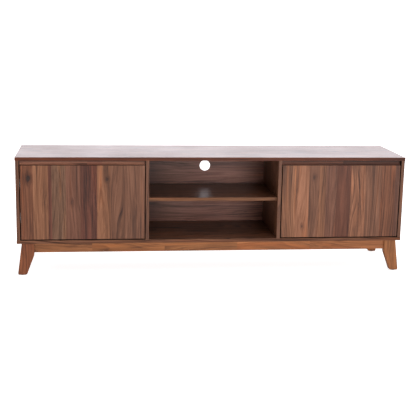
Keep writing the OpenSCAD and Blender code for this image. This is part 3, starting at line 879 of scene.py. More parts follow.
# Leg tones: the left pair is painted darker as shade, and the right pair lighter as lit
LEG_LIT_AND_SHADED_TONES = [(0.0, tone(0.41, 0.22, 0.12)), (0.5, tone(0.49, 0.295, 0.155))]

# Tones of painted shade in the rails' corners, and on the boards' faces beside the doors' edges
CORNER_PAINTED_SHADE = tone(0.06, 0.03, 0.02)
GAP_SHADE = tone(0.05, 0.03, 0.02)
# Width over which that shade sets in at a face
FACE_NEAR = 0.0006
FACE_FAR = 0.0002

# Knots as centre, reach across, through and along the board, and depth of shade
LEFT_DOOR_KNOTS = [
    ((-0.819, -0.19, 0.437), (0.014, 0.060, 0.020), 0.85),
    ((-0.477, -0.19, 0.435), (0.008, 0.060, 0.012), 0.60),
    ((-0.629, -0.19, 0.331), (0.007, 0.060, 0.014), 0.40),
]
RIGHT_DOOR_KNOTS = [
    ((0.456, -0.19, 0.440), (0.008, 0.060, 0.014), 0.45),
    ((0.406, -0.19, 0.215), (0.006, 0.060, 0.010), 0.55),
]

DOOR_VENEERS = {
    "left_door_walnut": ("left_door", LEFT_DOOR_STRIPS, LEFT_DOOR_KNOTS),
    "right_door_walnut": ("right_door", RIGHT_DOOR_STRIPS, RIGHT_DOOR_KNOTS),
}


def make_door_veneer(name, options):
    """Upright strips of walnut with the door's own knots."""
    door, strips, knots = DOOR_VENEERS[name]
    low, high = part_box(door)
    wood_material(
        name, strip_colours(low.x, high.x, strips), GRAIN_ALONG_Z, knots=knots, slope=0.03,
        figure=0.5, fibre=1.25, streaks=0.5,
    )


def make_top_rails(name, options):
    """Lengths of walnut, with painted shade darkening the corners of the recess."""
    inner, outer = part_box("right_top_rail")
    strips = strip_colours(-outer.x, outer.x, TOP_RAIL_STRIPS)

    def with_corner_shade(tree, place):
        colour, number = strips(tree, place)
        across, _, height = axes_of(tree, place)
        off_centre = math_of(tree, "ABSOLUTE", across)
        # Painted shade: the top edge and both ends of each rail darken where the recess would lie in shadow
        corners = (
            spread(tree, height, outer.z - 0.009, outer.z - 0.005),
            spread(tree, off_centre, outer.x - 0.004, outer.x - 0.001),
            spread(tree, off_centre, inner.x + 0.001, inner.x + 0.004, 1.0, 0.0),
        )
        for corner in corners:
            colour = blend_colours(tree, times(tree, corner, 0.9), colour, CORNER_PAINTED_SHADE)
        return colour, number

    wood_material(name, with_corner_shade, GRAIN_ALONG_X, figure=0.3)


# Tones of the back along its length: painted shade at the left of the bay and a painted pool of light
# toward its right
BACK_PAINTED_LIGHT_AND_SHADE = [
    (0.00, tone(0.46, 0.30, 0.25)), (0.31, tone(0.46, 0.30, 0.25)), (0.335, tone(0.24, 0.13, 0.10)),
    (0.40, tone(0.41, 0.27, 0.22)), (0.47, tone(0.47, 0.31, 0.26)), (0.54, tone(0.50, 0.33, 0.28)),
    (0.62, tone(0.53, 0.35, 0.29)), (0.66, tone(0.53, 0.35, 0.29)), (0.69, tone(0.46, 0.30, 0.25)),
]


def make_walnut_back(name, options):
    """Walnut laminate with painted shade and light in its tone along the stand."""
    low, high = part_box("top_panel")

    def with_painted_bay_light(tree, place):
        share = spread(tree, axes_of(tree, place)[0], low.x, high.x)
        return step_ramp(tree, share, BACK_PAINTED_LIGHT_AND_SHADE, "LINEAR"), None

    wood_material(
        name, with_painted_bay_light, GRAIN_ALONG_X, shift=(0.1, 0.0, 0.13), rough=0.34, specular=0.28,
        figure=0.7, fibre=1.1,
    )


def with_painted_gap_shade(base, facing):
    """Walnut with painted shade on the front strip of the faces turned toward a door's edge."""
    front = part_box("right_door")[0].y

    def build(tree, place):
        across, depth, height = axes_of(tree, place)
        mask = facing(tree, math_of(tree, "ABSOLUTE", across), height)
        near_front = spread(tree, depth, front + 0.015, front + 0.035, 1.0, 0.0)
        # Painted shade: the faces beside the doors' edges darken toward the front, where the gaps lie in
        # shadow
        deep = times(tree, times(tree, mask, near_front), 0.85)
        return blend_colours(tree, deep, base, GAP_SHADE), None

    return build


def make_walnut_long(name, options):
    """Walnut with its grain along the stand, with painted shade under the doors."""
    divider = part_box("right_divider")[1].x
    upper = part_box("bottom_panel")[1].z

    def under_doors(tree, off_centre, height):
        beside = spread(tree, off_centre, divider - FACE_NEAR, divider - FACE_FAR)
        on_top = spread(tree, height, upper - FACE_NEAR, upper - FACE_FAR)
        return times(tree, beside, on_top)

    wood_material(
        name, with_painted_gap_shade(opaque(options.walnut), under_doors), GRAIN_ALONG_X,
        shift=(0.4, 0.02, 0.1), figure=1.2, fibre=1.3, streaks=0.8, specular=0.12,
    )


def make_walnut_upright(name, options):
    """Walnut with its grain upright, with painted shade beside the doors."""
    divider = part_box("right_divider")[1].x
    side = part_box("right_side_panel")[0].x

    def beside_doors(tree, off_centre, height):
        past_divider = spread(tree, off_centre, divider - FACE_NEAR, divider - FACE_FAR)
        short_of_side = spread(tree, off_centre, side + FACE_FAR, side + FACE_NEAR, 1.0, 0.0)
        return times(tree, past_divider, short_of_side)

    wood_material(
        name, with_painted_gap_shade(opaque(options.walnut), beside_doors), GRAIN_ALONG_Z,
        shift=(0.2, 0.05, 0.3),
    )


def chosen_tone(colour, options):
    """A tone, given as itself or as the name of an option."""
    return opaque(getattr(options, colour)) if isinstance(colour, str) else colour


def plain_wood(colour, turn, **look):
    """A maker of a wood with one tone all over."""
    def make(name, options):
        wood_material(name, chosen_tone(colour, options), turn, **look)

    return make


def make_fibreboard(name, options):
    """The raw rear face of a back board."""
    tree, shader, place = start_material(name)
    flecks = spread(tree, noise_of(tree, place, 900.0, 5.0, 0.7), 0.3, 0.7)
    clouds = spread(tree, noise_of(tree, place, 7.0, 4.0, 0.6), 0.3, 0.7)
    base = opaque(options.fibreboard)
    colour = blend_colours(tree, times(tree, flecks, 0.5), base, tone(0.66, 0.52, 0.38))
    colour = blend_colours(tree, times(tree, clouds, 0.35), colour, tone(0.40, 0.29, 0.20))
    add_handling(tree, shader, place, colour, 0.75, Smears=0.1)
    add_bump(tree, shader, flecks, 0.0003, 0.4)


def make_front_rail_wood(name, options):
    """Solid wood of the long rails, in lengths of slightly different tone."""
    low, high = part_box("front_rail")
    wood_material(
        name, strip_colours(low.x, high.x, BASE_RAIL_STRIPS), GRAIN_ALONG_X, ring=0.006, slope=0.02,
        figure=0.5, fibre=0.95, pores=0.3, rough=0.46, worn=RUBBED_BASE_WOOD,
    )


def make_leg_wood(name, options):
    """Solid wood of the legs, with painted shade making the left pair a little darker."""
    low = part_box("front_left_leg")[0]
    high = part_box("front_right_leg")[1]
    wood_material(
        name, strip_colours(low.x, high.x, LEG_LIT_AND_SHADED_TONES), GRAIN_ALONG_Z, ring=0.007, slope=0.06,
        figure=0.6, fibre=0.75, pores=0.3, worn=RUBBED_BASE_WOOD,
    )


def plated(colour, rough, tarnish):
    """A maker of a plated metal."""
    def make(name, options):
        tree, shader, place = start_material(name)
        surface = use_group(tree, "metal_surface", {
            "Vector": place, "Colour": chosen_tone(colour, options), "Roughness": rough,
            "Tarnish": tarnish,
        })
        rubbed = use_group(tree, "edge_wear", {
            "Vector": place, "Colour": surface["Colour"], "Worn Colour": (0.78, 0.77, 0.74, 1.0),
            "Width": 0.0004, "Amount": 0.6,
        })
        tree.links.new(rubbed["Colour"], shader.inputs["Base Color"])
        tree.links.new(surface["Roughness"], shader.inputs["Roughness"])
        shader.inputs["Metallic"].default_value = 1.0
        add_bump(tree, shader, surface["Height"], 0.00005, 0.3)

    return make


def make_glide_plastic(name, options):
    """Dark nylon, scuffed by the floor."""
    tree, shader, place = start_material(name)
    scuffs = spread(tree, noise_of(tree, place, 120.0, 5.0, 0.7), 0.45, 0.75)
    colour = blend_colours(tree, scuffs, tone(0.16, 0.13, 0.11), tone(0.26, 0.23, 0.20))
    add_handling(tree, shader, place, colour, 0.5)
    add_bump(tree, shader, noise_of(tree, place, 900.0, 3.0, 0.6), 0.0002, 0.3)


def make_clear_rubber(name, options):
    """Cloudy clear rubber of the bumpers."""
    tree, shader, place = start_material(name)
    haze = spread(tree, noise_of(tree, place, 700.0, 3.0, 0.6), 0.3, 0.7)
    colour = blend_colours(tree, haze, tone(0.90, 0.90, 0.88), tone(0.82, 0.82, 0.79))
    tree.links.new(colour, shader.inputs["Base Color"])
    tree.links.new(times_plus(tree, haze, 0.15, 0.12), shader.inputs["Roughness"])
    shader.inputs["Transmission Weight"].default_value = 0.7
    shader.inputs["IOR"].default_value = 1.45
    add_bump(tree, shader, haze, 0.0001, 0.2)


def make_floor(name, options):
    """A pale floor with a faint glow of its own, which keeps the shadow soft."""
    tree, shader, place = start_material(name)
    haze = noise_of(tree, place, 2.0, 3.0, 0.5)
    base = opaque(options.floor)
    colour = blend_colours(tree, times(tree, haze, 0.05), base, tone(0.93, 0.93, 0.93))
    tree.links.new(colour, shader.inputs["Base Color"])
    tree.links.new(times_plus(tree, haze, 0.1, 0.8), shader.inputs["Roughness"])
    shader.inputs["Specular IOR Level"].default_value = 0.1
    # From below the floor is clear, so that the underside can be seen
    below = tree.nodes.new("ShaderNodeNewGeometry").outputs["Backfacing"]
    clear = tree.nodes.new("ShaderNodeBsdfTransparent").outputs[0]
    either = add_node(tree, "ShaderNodeMixShader", {0: below, 1: shader.outputs[0], 2: clear})
    output = next(node for node in tree.nodes if node.type == "OUTPUT_MATERIAL")
    tree.links.new(either.outputs[0], output.inputs["Surface"])
    # Under the stand the glow fades for all but the camera
    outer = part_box("bottom_panel")[1]
    across, depth, _ = axes_of(tree, place)
    margin = 0.05
    beside = spread(tree, math_of(tree, "ABSOLUTE", across), outer.x - margin, outer.x + margin)
    before = spread(tree, math_of(tree, "ABSOLUTE", depth), outer.y - margin, outer.y + margin)
    seen = tree.nodes.new("ShaderNodeLightPath").outputs["Is Camera Ray"]
    open_floor = math_of(tree, "MAXIMUM", math_of(tree, "MAXIMUM", beside, before), seen)
    glow = blend_colours(tree, open_floor, tone(0.10, 0.10, 0.10), tone(1.0, 1.0, 1.0))
    tree.links.new(glow, shader.inputs["Emission Color"])
    shader.inputs["Emission Strength"].default_value = 0.75


FINISHES = {
    "left_door_walnut": make_door_veneer,
    "right_door_walnut": make_door_veneer,
    "top_rail_walnut": make_top_rails,
    "dark_edge_band": plain_wood(tone(0.31, 0.13, 0.04), GRAIN_ALONG_X, figure=0.5, rough=0.5),
    "light_edge_band": plain_wood(tone(0.39, 0.24, 0.14), GRAIN_ALONG_X, figure=0.5, rough=0.5),
    # The door edge band is partly a real dark banding and partly painted shade: its near-black tone darkens
    # the gaps round the doors
    "door_edge_band": plain_wood(tone(0.11, 0.06, 0.04), GRAIN_ALONG_Z, figure=0.4, rough=0.5),
    "walnut_back": make_walnut_back,
    "walnut_shelf": plain_wood(
        "walnut", GRAIN_ALONG_X, shift=(0.9, 0.3, 0.0), rough=0.34, specular=0.10, figure=1.1,
        fibre=1.2, streaks=0.7,
    ),
    "walnut_long": make_walnut_long,
    "walnut_upright": make_walnut_upright,
    "walnut_top": plain_wood(
        "walnut", GRAIN_ALONG_X, shift=(1.2, 0.1, 0.0), rough=0.34, dust=0.015, specular=0.75,
        figure=1.0, fibre=1.2,
    ),
    "raw_fibreboard": make_fibreboard,
    "base_wood_long": make_front_rail_wood,
    "base_wood_cross": plain_wood(
        "solid_wood", GRAIN_ALONG_Y, ring=0.006, slope=0.03, figure=0.35, fibre=0.45, pores=0.2,
        rough=0.5, worn=RUBBED_BASE_WOOD,
    ),
    "leg_wood": make_leg_wood,
    "pale_wood": plain_wood(
        "pale_wood", GRAIN_ALONG_X, ring=0.004, slope=0.05, figure=0.25, fibre=0.3, pores=0.15,
        rough=0.6, worn=(0.7, 0.5, 0.3, 1.0), wear=0.2,
    ),
    "hinge_steel": plated("steel", 0.30, 0.25),
    "screw_zinc": plated("zinc", 0.30, 0.35),
    "pin_steel": plated(tone(0.70, 0.69, 0.67), 0.20, 0.2),
    "cast_zinc": plated(tone(0.66, 0.66, 0.66), 0.42, 0.4),
    "glide_plastic": make_glide_plastic,
    "clear_rubber": make_clear_rubber,
    "plain_floor": make_floor,
}


def finish_material(name):
    """A finish by name, made the first time that it is asked for."""
    if name not in bpy.data.materials:
        FINISHES[name](name, bpy.context.scene.tv_stand_colours)
    return bpy.data.materials[name]


# ---------------------------------------------------------------------------------------------------
# Pieces
# ---------------------------------------------------------------------------------------------------

def eased_board(name, node, ease):
    """A board the size of its frame node, with eased edges."""
    board = add_block(name, *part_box(node))
    return round_edges(board, ease)


def faces_front(normal):
    """True for the face that looks forward."""
    return normal.y < -0.6


def faces_rear(normal):
    """True for a back board's rear and its edges."""
    return normal.y > -0.3


def faces_round(normal):
    """True for the four faces round a door."""
    return max(abs(normal.x), abs(normal.z)) > 0.95


def band_faces(board, finish, test):
    """Gives the faces that pass the test a second finish."""
    board.data.materials.append(finish_material(finish))
    pick_faces(board, test)
    board.active_material_index = 1
    bpy.ops.object.material_slot_assign()
    bpy.ops.object.mode_set(mode="OBJECT")
    board.active_material_index = 0


class TVSTAND_OT_top(bpy.types.Operator):
    """Makes the top board"""

    bl_idname = "tv_stand.top"
    bl_label = "Top board"

    def execute(self, context):
        sizes = context.scene.tv_stand_sizes
        board = eased_board("top_board", "top_panel", sizes.board_ease)
        finish_piece(board, "cabinet", "walnut_top", "top_panel")
        band_faces(board, "dark_edge_band", faces_front)
        return {"FINISHED"}


class TVSTAND_OT_bottom(bpy.types.Operator):
    """Makes the bottom board"""

    bl_idname = "tv_stand.bottom"
    bl_label = "Bottom board"

    def execute(self, context):
        sizes = context.scene.tv_stand_sizes
        board = eased_board("bottom_board", "bottom_panel", sizes.board_ease)
        finish_piece(board, "cabinet", "walnut_long", "bottom_panel")
        return {"FINISHED"}


# Play round a cam, and the size and spacing of the shelf pin holes
CAM_PLAY = 0.0001
PIN_RADIUS = 0.0025
PIN_DEPTH = 0.009
PIN_STEP = 0.032


class TVSTAND_OT_uprights(bpy.types.Operator):
    """Makes the side panels and the dividers, with their cam bores and shelf pin holes"""

    bl_idname = "tv_stand.uprights"
    bl_label = "Side panels and dividers"

    def execute(self, context):
        sizes = context.scene.tv_stand_sizes
        for side, sign in SIDES.items():
            for kind in ("side_panel", "divider"):
                node = f"{side}_{kind}"
                board = eased_board(f"{side}_{kind}_board", node, sizes.board_ease)
                holes = self.cam_bores(node)
                if kind == "divider":
                    holes += self.pin_holes(node, sign)
                bore(board, holes, sizes.bore_sides)
                finish_piece(board, "cabinet", "walnut_upright", node)
        return {"FINISHED"}

    def cam_bores(self, node):
        low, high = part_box(node)
        holes = []
        for cam_low, cam_high in solids_of("cam_locks"):
            middle = (cam_low + cam_high) / 2
            if not low.x < middle.x < high.x:
                continue
            radius = (cam_high.y - cam_low.y) / 2 + CAM_PLAY
            opens_right = abs(cam_high.x - high.x) < abs(cam_low.x - low.x)
            deep = cam_low.x if opens_right else cam_high.x
            mouth = high.x + DRILL_OUT if opens_right else low.x - DRILL_OUT
            holes.append(((deep, middle.y, middle.z), (mouth, middle.y, middle.z), radius))
        return holes

    def pin_holes(self, node, sign):
        low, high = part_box(node)
        face = low.x if sign > 0 else high.x
        holes = []
        for pin_low, pin_high in solids_of("shelf_pins"):
            if (pin_low.x + pin_high.x) * sign < 0:
                continue
            y = (pin_low.y + pin_high.y) / 2
            z = (pin_low.z + pin_high.z) / 2
            for step in (-PIN_STEP, 0.0, PIN_STEP):
                start = (face - sign * DRILL_OUT, y, z + step)
                end = (face + sign * PIN_DEPTH, y, z + step)
                holes.append((start, end, PIN_RADIUS))
        return holes


class TVSTAND_OT_top_rails(bpy.types.Operator):
    """Makes the two rails over the doors"""

    bl_idname = "tv_stand.top_rails"
    bl_label = "Rails over the doors"

    def execute(self, context):
        sizes = context.scene.tv_stand_sizes
        for side in SIDES:
            node = f"{side}_top_rail"
            board = eased_board(f"{node}_board", node, sizes.board_ease)
            finish_piece(board, "cabinet", "top_rail_walnut", node)
        return {"FINISHED"}


class TVSTAND_OT_shelf(bpy.types.Operator):
    """Makes the shelf of the open bay"""

    bl_idname = "tv_stand.shelf"
    bl_label = "Shelf"

    def execute(self, context):
        sizes = context.scene.tv_stand_sizes
        board = eased_board("shelf_board", "middle_shelf", sizes.board_ease)
        finish_piece(board, "cabinet", "walnut_shelf", "middle_shelf")
        band_faces(board, "light_edge_band", faces_front)
        return {"FINISHED"}


# The cable hole and its eased rim, and the eased edges of the thin boards
CABLE_RADIUS = 0.025
CABLE_HEIGHT = 0.434
CABLE_EASE = 0.0004
BACK_EASE = 0.0003


class TVSTAND_OT_backs(bpy.types.Operator):
    """Makes the three back boards, with the cable hole in the middle one"""

    bl_idname = "tv_stand.backs"
    bl_label = "Back boards"

    def execute(self, context):
        for part in ("left", "middle", "right"):
            node = f"{part}_back_panel"
            board = eased_board(f"{part}_back_board", node, BACK_EASE)
            if part == "middle":
                low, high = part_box(node)
                start = (0.0, low.y - DRILL_OUT, CABLE_HEIGHT)
                end = (0.0, high.y + DRILL_OUT, CABLE_HEIGHT)
                bore(board, [(start, end, CABLE_RADIUS)], WIDE_BORE_SIDES)
                self.ease_hole(board)
            finish_piece(board, "cabinet", "walnut_back", node)
            band_faces(board, "raw_fibreboard", faces_rear)
        return {"FINISHED"}

    def ease_hole(self, board):
        middle = Vector((0.0, 0.0, CABLE_HEIGHT))

        def on_rim(edge, point, direction):
            away = Vector((point.x, 0.0, point.z)) - middle
            return abs(away.length - CABLE_RADIUS) < 0.0005 and abs(direction.y) < 0.5

        pick_edges(board, on_rim)
        bpy.ops.mesh.bevel(offset=CABLE_EASE, segments=2, affect="EDGES")
        bpy.ops.object.mode_set(mode="OBJECT")


# Bore of a hinge cup, and how far the cup's flange reaches from its centre
CUP_RADIUS = 0.0176
CUP_DEPTH = 0.012
FLANGE_REACH = 0.0195


class TVSTAND_OT_doors(bpy.types.Operator):
    """Makes the two doors, with the bores that hold the hinge cups"""

    bl_idname = "tv_stand.doors"
    bl_label = "Doors"

    def execute(self, context):
        sizes = context.scene.tv_stand_sizes
        for side, sign in SIDES.items():
            node = f"{side}_door"
            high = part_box(node)[1]
            door = eased_board(f"{side}_door_slab", node, sizes.door_ease)
            holes = []
            for cup_low, cup_high in solids_of(f"{side}_hinge_cups"):
                x = cup_high.x - FLANGE_REACH if sign > 0 else cup_low.x + FLANGE_REACH
                z = (cup_low.z + cup_high.z) / 2
                holes.append(((x, high.y - CUP_DEPTH, z), (x, high.y + DRILL_OUT, z), CUP_RADIUS))
            bore(door, holes, WIDE_BORE_SIDES)
            finish_piece(door, f"{side}_door", f"{side}_door_walnut", node)
            band_faces(door, "door_edge_band", faces_round)
        return {"FINISHED"}


def metal_part(node, body, finish, width):
    """A metal piece from its frame node, with rounded edges."""
    piece = merged_copy(node, f"{node}_piece")
    soften(piece, width)
    finish_piece(piece, body, finish, node)


class TVSTAND_OT_hinges(bpy.types.Operator):
    """Makes the hinge cups, arms and plates"""

    bl_idname = "tv_stand.hinges"
    bl_label = "Hinges"

    PIN_EASE = 0.0002

    def execute(self, context):
        ease = context.scene.tv_stand_sizes.metal_round
        for side in SIDES:
            metal_part(f"{side}_hinge_cups", f"{side}_door", "hinge_steel", ease)
            metal_part(f"{side}_hinge_arms", "cabinet", "hinge_steel", ease)
            metal_part(f"{side}_hinge_plates", "cabinet", "hinge_steel", ease)
            metal_part(f"{side}_hinge_pins", f"{side}_door", "pin_steel", self.PIN_EASE)
        return {"FINISHED"}


# Shares of a screw head's height that its rounding and its recess take, and shares of its radius
# that the recess reaches and is wide
HEAD_ROUND = 0.55
RECESS_DEPTH = 0.62
RECESS_REACH = 0.62
RECESS_WIDTH = 0.17
# Share of the shank's width left at the tip
TIP_SHARE = 0.3


def cross_screw(name, head_radius, head_height, shank_radius, length, sides):
    """A screw standing on its tip along Z, its head's top at zero, with a cross recess."""
    head = add_rod(f"{name}_head", (0, 0, -head_height), (0, 0, 0), head_radius, sides)
    round_edges(head, head_height * HEAD_ROUND, test=lambda middle, direction: middle.z > -head_height / 2)
    reach = head_radius * RECESS_REACH
    width = head_radius * RECESS_WIDTH
    slot = add_block("slot", (-reach, -width, -head_height * RECESS_DEPTH), (reach, width, NEAR))
    cross = duplicate(slot, "cross", Matrix.Rotation(math.radians(90), 4, "Z"))
    combine(slot, cross, "UNION")
    combine(head, slot, "DIFFERENCE")
    shank = add_rod(f"{name}_shank", (0, 0, -length), (0, 0, -head_height), shank_radius, 12)
    pick_points(shank, lambda point: point.z < -length + NEAR)
    bpy.ops.transform.resize(value=(TIP_SHARE, TIP_SHARE, 1.0), center_override=(0, 0, -length))
    bpy.ops.object.mode_set(mode="OBJECT")
    return join([head, shank], name)


def placed_along(place, direction):
    """A placement that brings a screw's head to a place, looking the given way."""
    return Matrix.Translation(place) @ direction.to_track_quat("Z", "Y").to_matrix().to_4x4()


def heads_along_y(node):
    """Placements of screw heads that face the rear."""
    return [
        placed_along(((low.x + high.x) / 2, high.y, (low.z + high.z) / 2), Y_AXIS)
        for low, high in solids_of(node)
    ]


def heads_down(node):
    """Placements of screw heads that face the floor."""
    return [
        placed_along(((low.x + high.x) / 2, (low.y + high.y) / 2, low.z), -Z_AXIS)
        for low, high in solids_of(node)
    ]


def heads_on_uprights(node):
    """Placements of screw heads on the face of an upright that looks into its cabinet."""
    placements = []
    for low, high in solids_of(node):
        on_side_panel = abs(low.x + high.x) / 2 > SIDE_PANELS_FROM
        on_right = low.x > 0
        looks_left = on_side_panel == on_right if node == "cam_locks" else on_right
        face, direction = (low.x, -X_AXIS) if looks_left else (high.x, X_AXIS)
        placements.append(placed_along((face, (low.y + high.y) / 2, (low.z + high.z) / 2), direction))
    return placements


# Uprights farther than this from the middle are side panels
SIDE_PANELS_FROM = 0.6

# Screws and cams as head radius, head height, shank radius, length and sides
SCREW_SIZES = {
    "back_screw": (0.0035, 0.0016, 0.0012, 0.0156, 24),
    "carcass_screw": (0.005, 0.0025, 0.0022, 0.05, 24),
    "block_screw": (0.004, 0.002, 0.0018, 0.034, 24),
    "cup_screw": (0.0032, 0.0014, 0.0014, 0.0114, 24),
    "plate_screw": (0.0034, 0.0015, 0.0014, 0.0146, 24),
    "cam": (0.0075, 0.0045, 0.0070, 0.0125, 32),
}

# Each set as its frame node, piece, body, kind of screw, finish and way to find its heads
SCREW_SETS = (
    ("back_screws", "back_board_screws", "cabinet", "back_screw", "screw_zinc", heads_along_y),
    ("carcass_screws", "bottom_screws", "cabinet", "carcass_screw", "screw_zinc", heads_down),
    ("block_screws", "corner_block_screws", "cabinet", "block_screw", "screw_zinc", heads_down),
    ("left_cup_screws", "left_cup_screw_set", "left_door", "cup_screw", "screw_zinc", heads_along_y),
    ("right_cup_screws", "right_cup_screw_set", "right_door", "cup_screw", "screw_zinc", heads_along_y),
    ("hinge_plate_screws", "hinge_plate_screw_set", "cabinet", "plate_screw", "screw_zinc",
     heads_on_uprights),
    ("cam_locks", "cam_lock_set", "cabinet", "cam", "cast_zinc", heads_on_uprights),
)


class TVSTAND_OT_fasteners(bpy.types.Operator):
    """Makes the screws, the cam locks, the shelf pins and the cam bolts"""

    bl_idname = "tv_stand.fasteners"
    bl_label = "Screws and cams"

    SHELF_PIN_EASE = 0.0003
    CAM_BOLT_EASE = 0.0002

    def execute(self, context):
        for node, name, body, kind, finish, find_heads in SCREW_SETS:
            screw = cross_screw(kind, *SCREW_SIZES[kind])
            piece = copies_of(screw, name, find_heads(node))
            finish_piece(piece, body, finish, node)
        metal_part("shelf_pins", "cabinet", "pin_steel", self.SHELF_PIN_EASE)
        metal_part("cam_bolts", "cabinet", "screw_zinc", self.CAM_BOLT_EASE)
        return {"FINISHED"}


class TVSTAND_OT_legs(bpy.types.Operator):
    """Makes the four splayed legs from one"""

    bl_idname = "tv_stand.legs"
    bl_label = "Legs"

    TOP_WIDTH = 0.054
    FOOT_WIDTH = 0.040
    SPLAY = 0.019
    BEND_HEIGHT = 0.090
    CORNER = 0.007

    def execute(self, context):
        sizes = context.scene.tv_stand_sizes
        low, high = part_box("front_right_leg")
        inner = low.x
        outer = inner + self.TOP_WIDTH
        foot_outer = outer + self.SPLAY
        foot_inner = foot_outer - self.FOOT_WIDTH
        leg = add_block("leg", (inner, low.y, low.z), (outer, high.y, high.z))
        middle = (inner + outer) / 2
        pick_points(leg, lambda point: point.x > middle and point.z < low.z + NEAR)
        bpy.ops.transform.translate(value=(foot_outer - outer, 0.0, 0.0))
        bpy.ops.mesh.select_all(action="SELECT")
        bpy.ops.mesh.bisect(plane_co=(0.0, 0.0, self.BEND_HEIGHT), plane_no=(0.0, 0.0, 1.0))
        bpy.ops.object.mode_set(mode="OBJECT")
        pick_points(leg, lambda point: point.x < middle and point.z < low.z + NEAR)
        bpy.ops.transform.translate(value=(foot_inner - inner, 0.0, 0.0))
        bpy.ops.object.mode_set(mode="OBJECT")

        def foot_corner(point, direction):
            return abs(direction.y) > ALONG and point.z < low.z + NEAR

        round_edges(leg, self.CORNER, 6, foot_corner)

        def long_edge(point, direction):
            return abs(direction.y) < ALONG or point.z > high.z - NEAR

        round_edges(leg, sizes.leg_round, 4, long_edge)
        middle_y = (low.y + high.y) / 2
        rear_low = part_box("rear_right_leg")[0]
        flip = Matrix.Diagonal((-1, 1, 1, 1))
        back = Matrix.Translation((0.0, rear_low.y - low.y, 0.0))
        turned = back @ Matrix.Translation((0, middle_y, 0)) @ Matrix.Diagonal((1, -1, 1, 1))
        turned = turned @ Matrix.Translation((0, -middle_y, 0))
        places = {
            "front_left_leg": flip,
            "rear_right_leg": turned,
            "rear_left_leg": flip @ turned,
        }
        for node, placement in places.items():
            copy = duplicate(leg, f"{node}_piece", placement)
            finish_piece(copy, "cabinet", "leg_wood", node)
        leg.name = "front_right_leg_piece"
        finish_piece(leg, "cabinet", "leg_wood", "front_right_leg")
        return {"FINISHED"}


class TVSTAND_OT_base_rails(bpy.types.Operator):
    """Makes the rails of the base and its corner blocks"""

    bl_idname = "tv_stand.base_rails"
    bl_label = "Base rails"

    BLOCK_EASE = 0.001

    def execute(self, context):
        sizes = context.scene.tv_stand_sizes
        finishes = {
            "front_rail": "base_wood_long",
            "rear_rail": "base_wood_long",
            "left_side_rail": "base_wood_cross",
            "right_side_rail": "base_wood_cross",
            "cross_rail": "base_wood_cross",
        }
        for node, finish in finishes.items():
            low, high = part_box(node)
            rail = add_block(f"{node}_piece", low, high)
            long_way = X_AXIS if high.x - low.x > high.y - low.y else Y_AXIS

            def along_rail(point, direction):
                return abs(direction.dot(long_way)) > ALONG

            round_edges(rail, sizes.rail_round, 3, along_rail)
            finish_piece(rail, "cabinet", finish, node)
        blocks = merged_copy("corner_blocks", "corner_block_set")
        soften(blocks, self.BLOCK_EASE)
        finish_piece(blocks, "cabinet", "pale_wood", "corner_blocks")
        return {"FINISHED"}


class TVSTAND_OT_glides(bpy.types.Operator):
    """Makes the glides under the feet"""

    bl_idname = "tv_stand.glides"
    bl_label = "Foot glides"

    DISC_HEIGHT = 0.002
    RIM_ROUND = 0.0008
    PEG_RADIUS = 0.002

    def execute(self, context):
        places = solids_of("foot_glides")
        low, high = places[0]
        radius = (high.x - low.x) / 2
        disc = add_rod("glide", (0, 0, 0), (0, 0, self.DISC_HEIGHT), radius, 40)
        round_edges(disc, self.RIM_ROUND, test=lambda middle, direction: middle.z < NEAR)
        peg = add_rod("peg", (0, 0, self.DISC_HEIGHT), (0, 0, high.z), self.PEG_RADIUS, 12)
        glide = join([disc, peg], "glide")
        centres = [(low + high) / 2 for low, high in places]
        placements = [Matrix.Translation((centre.x, centre.y, 0)) for centre in centres]
        piece = copies_of(glide, "foot_glide_set", placements)
        finish_piece(piece, "cabinet", "glide_plastic", "foot_glides")
        return {"FINISHED"}


class TVSTAND_OT_bumpers(bpy.types.Operator):
    """Makes the clear bumpers that the doors close on"""

    bl_idname = "tv_stand.bumpers"
    bl_label = "Door bumpers"

    def execute(self, context):
        places = solids_of("door_bumpers")
        low, high = places[0]
        radius = (high.x - low.x) / 2
        length = high.y - low.y
        dome = add_rod("dome", (0, 0, 0), (0, 0, length), radius, 32)
        round_edges(dome, radius * 0.42, 5, lambda middle, direction: middle.z > length / 2)
        placements = [
            placed_along(((low.x + high.x) / 2, high.y, (low.z + high.z) / 2), -Y_AXIS)
            for low, high in places
        ]
        piece = copies_of(dome, "door_bumper_set", placements)
        finish_piece(piece, "cabinet", "clear_rubber", "door_bumpers")
        return {"FINISHED"}


class TVSTAND_OT_hidden(bpy.types.Operator):
    """Finishes the dowels, which stay as the frame has them"""

    bl_idname = "tv_stand.hidden"
    bl_label = "Dowels"

    def execute(self, context):
        for node in ("carcass_dowels", "base_dowels"):
            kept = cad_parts[node]
            kept.data.materials.clear()
            kept.data.materials.append(finish_material("pale_wood"))
        return {"FINISHED"}


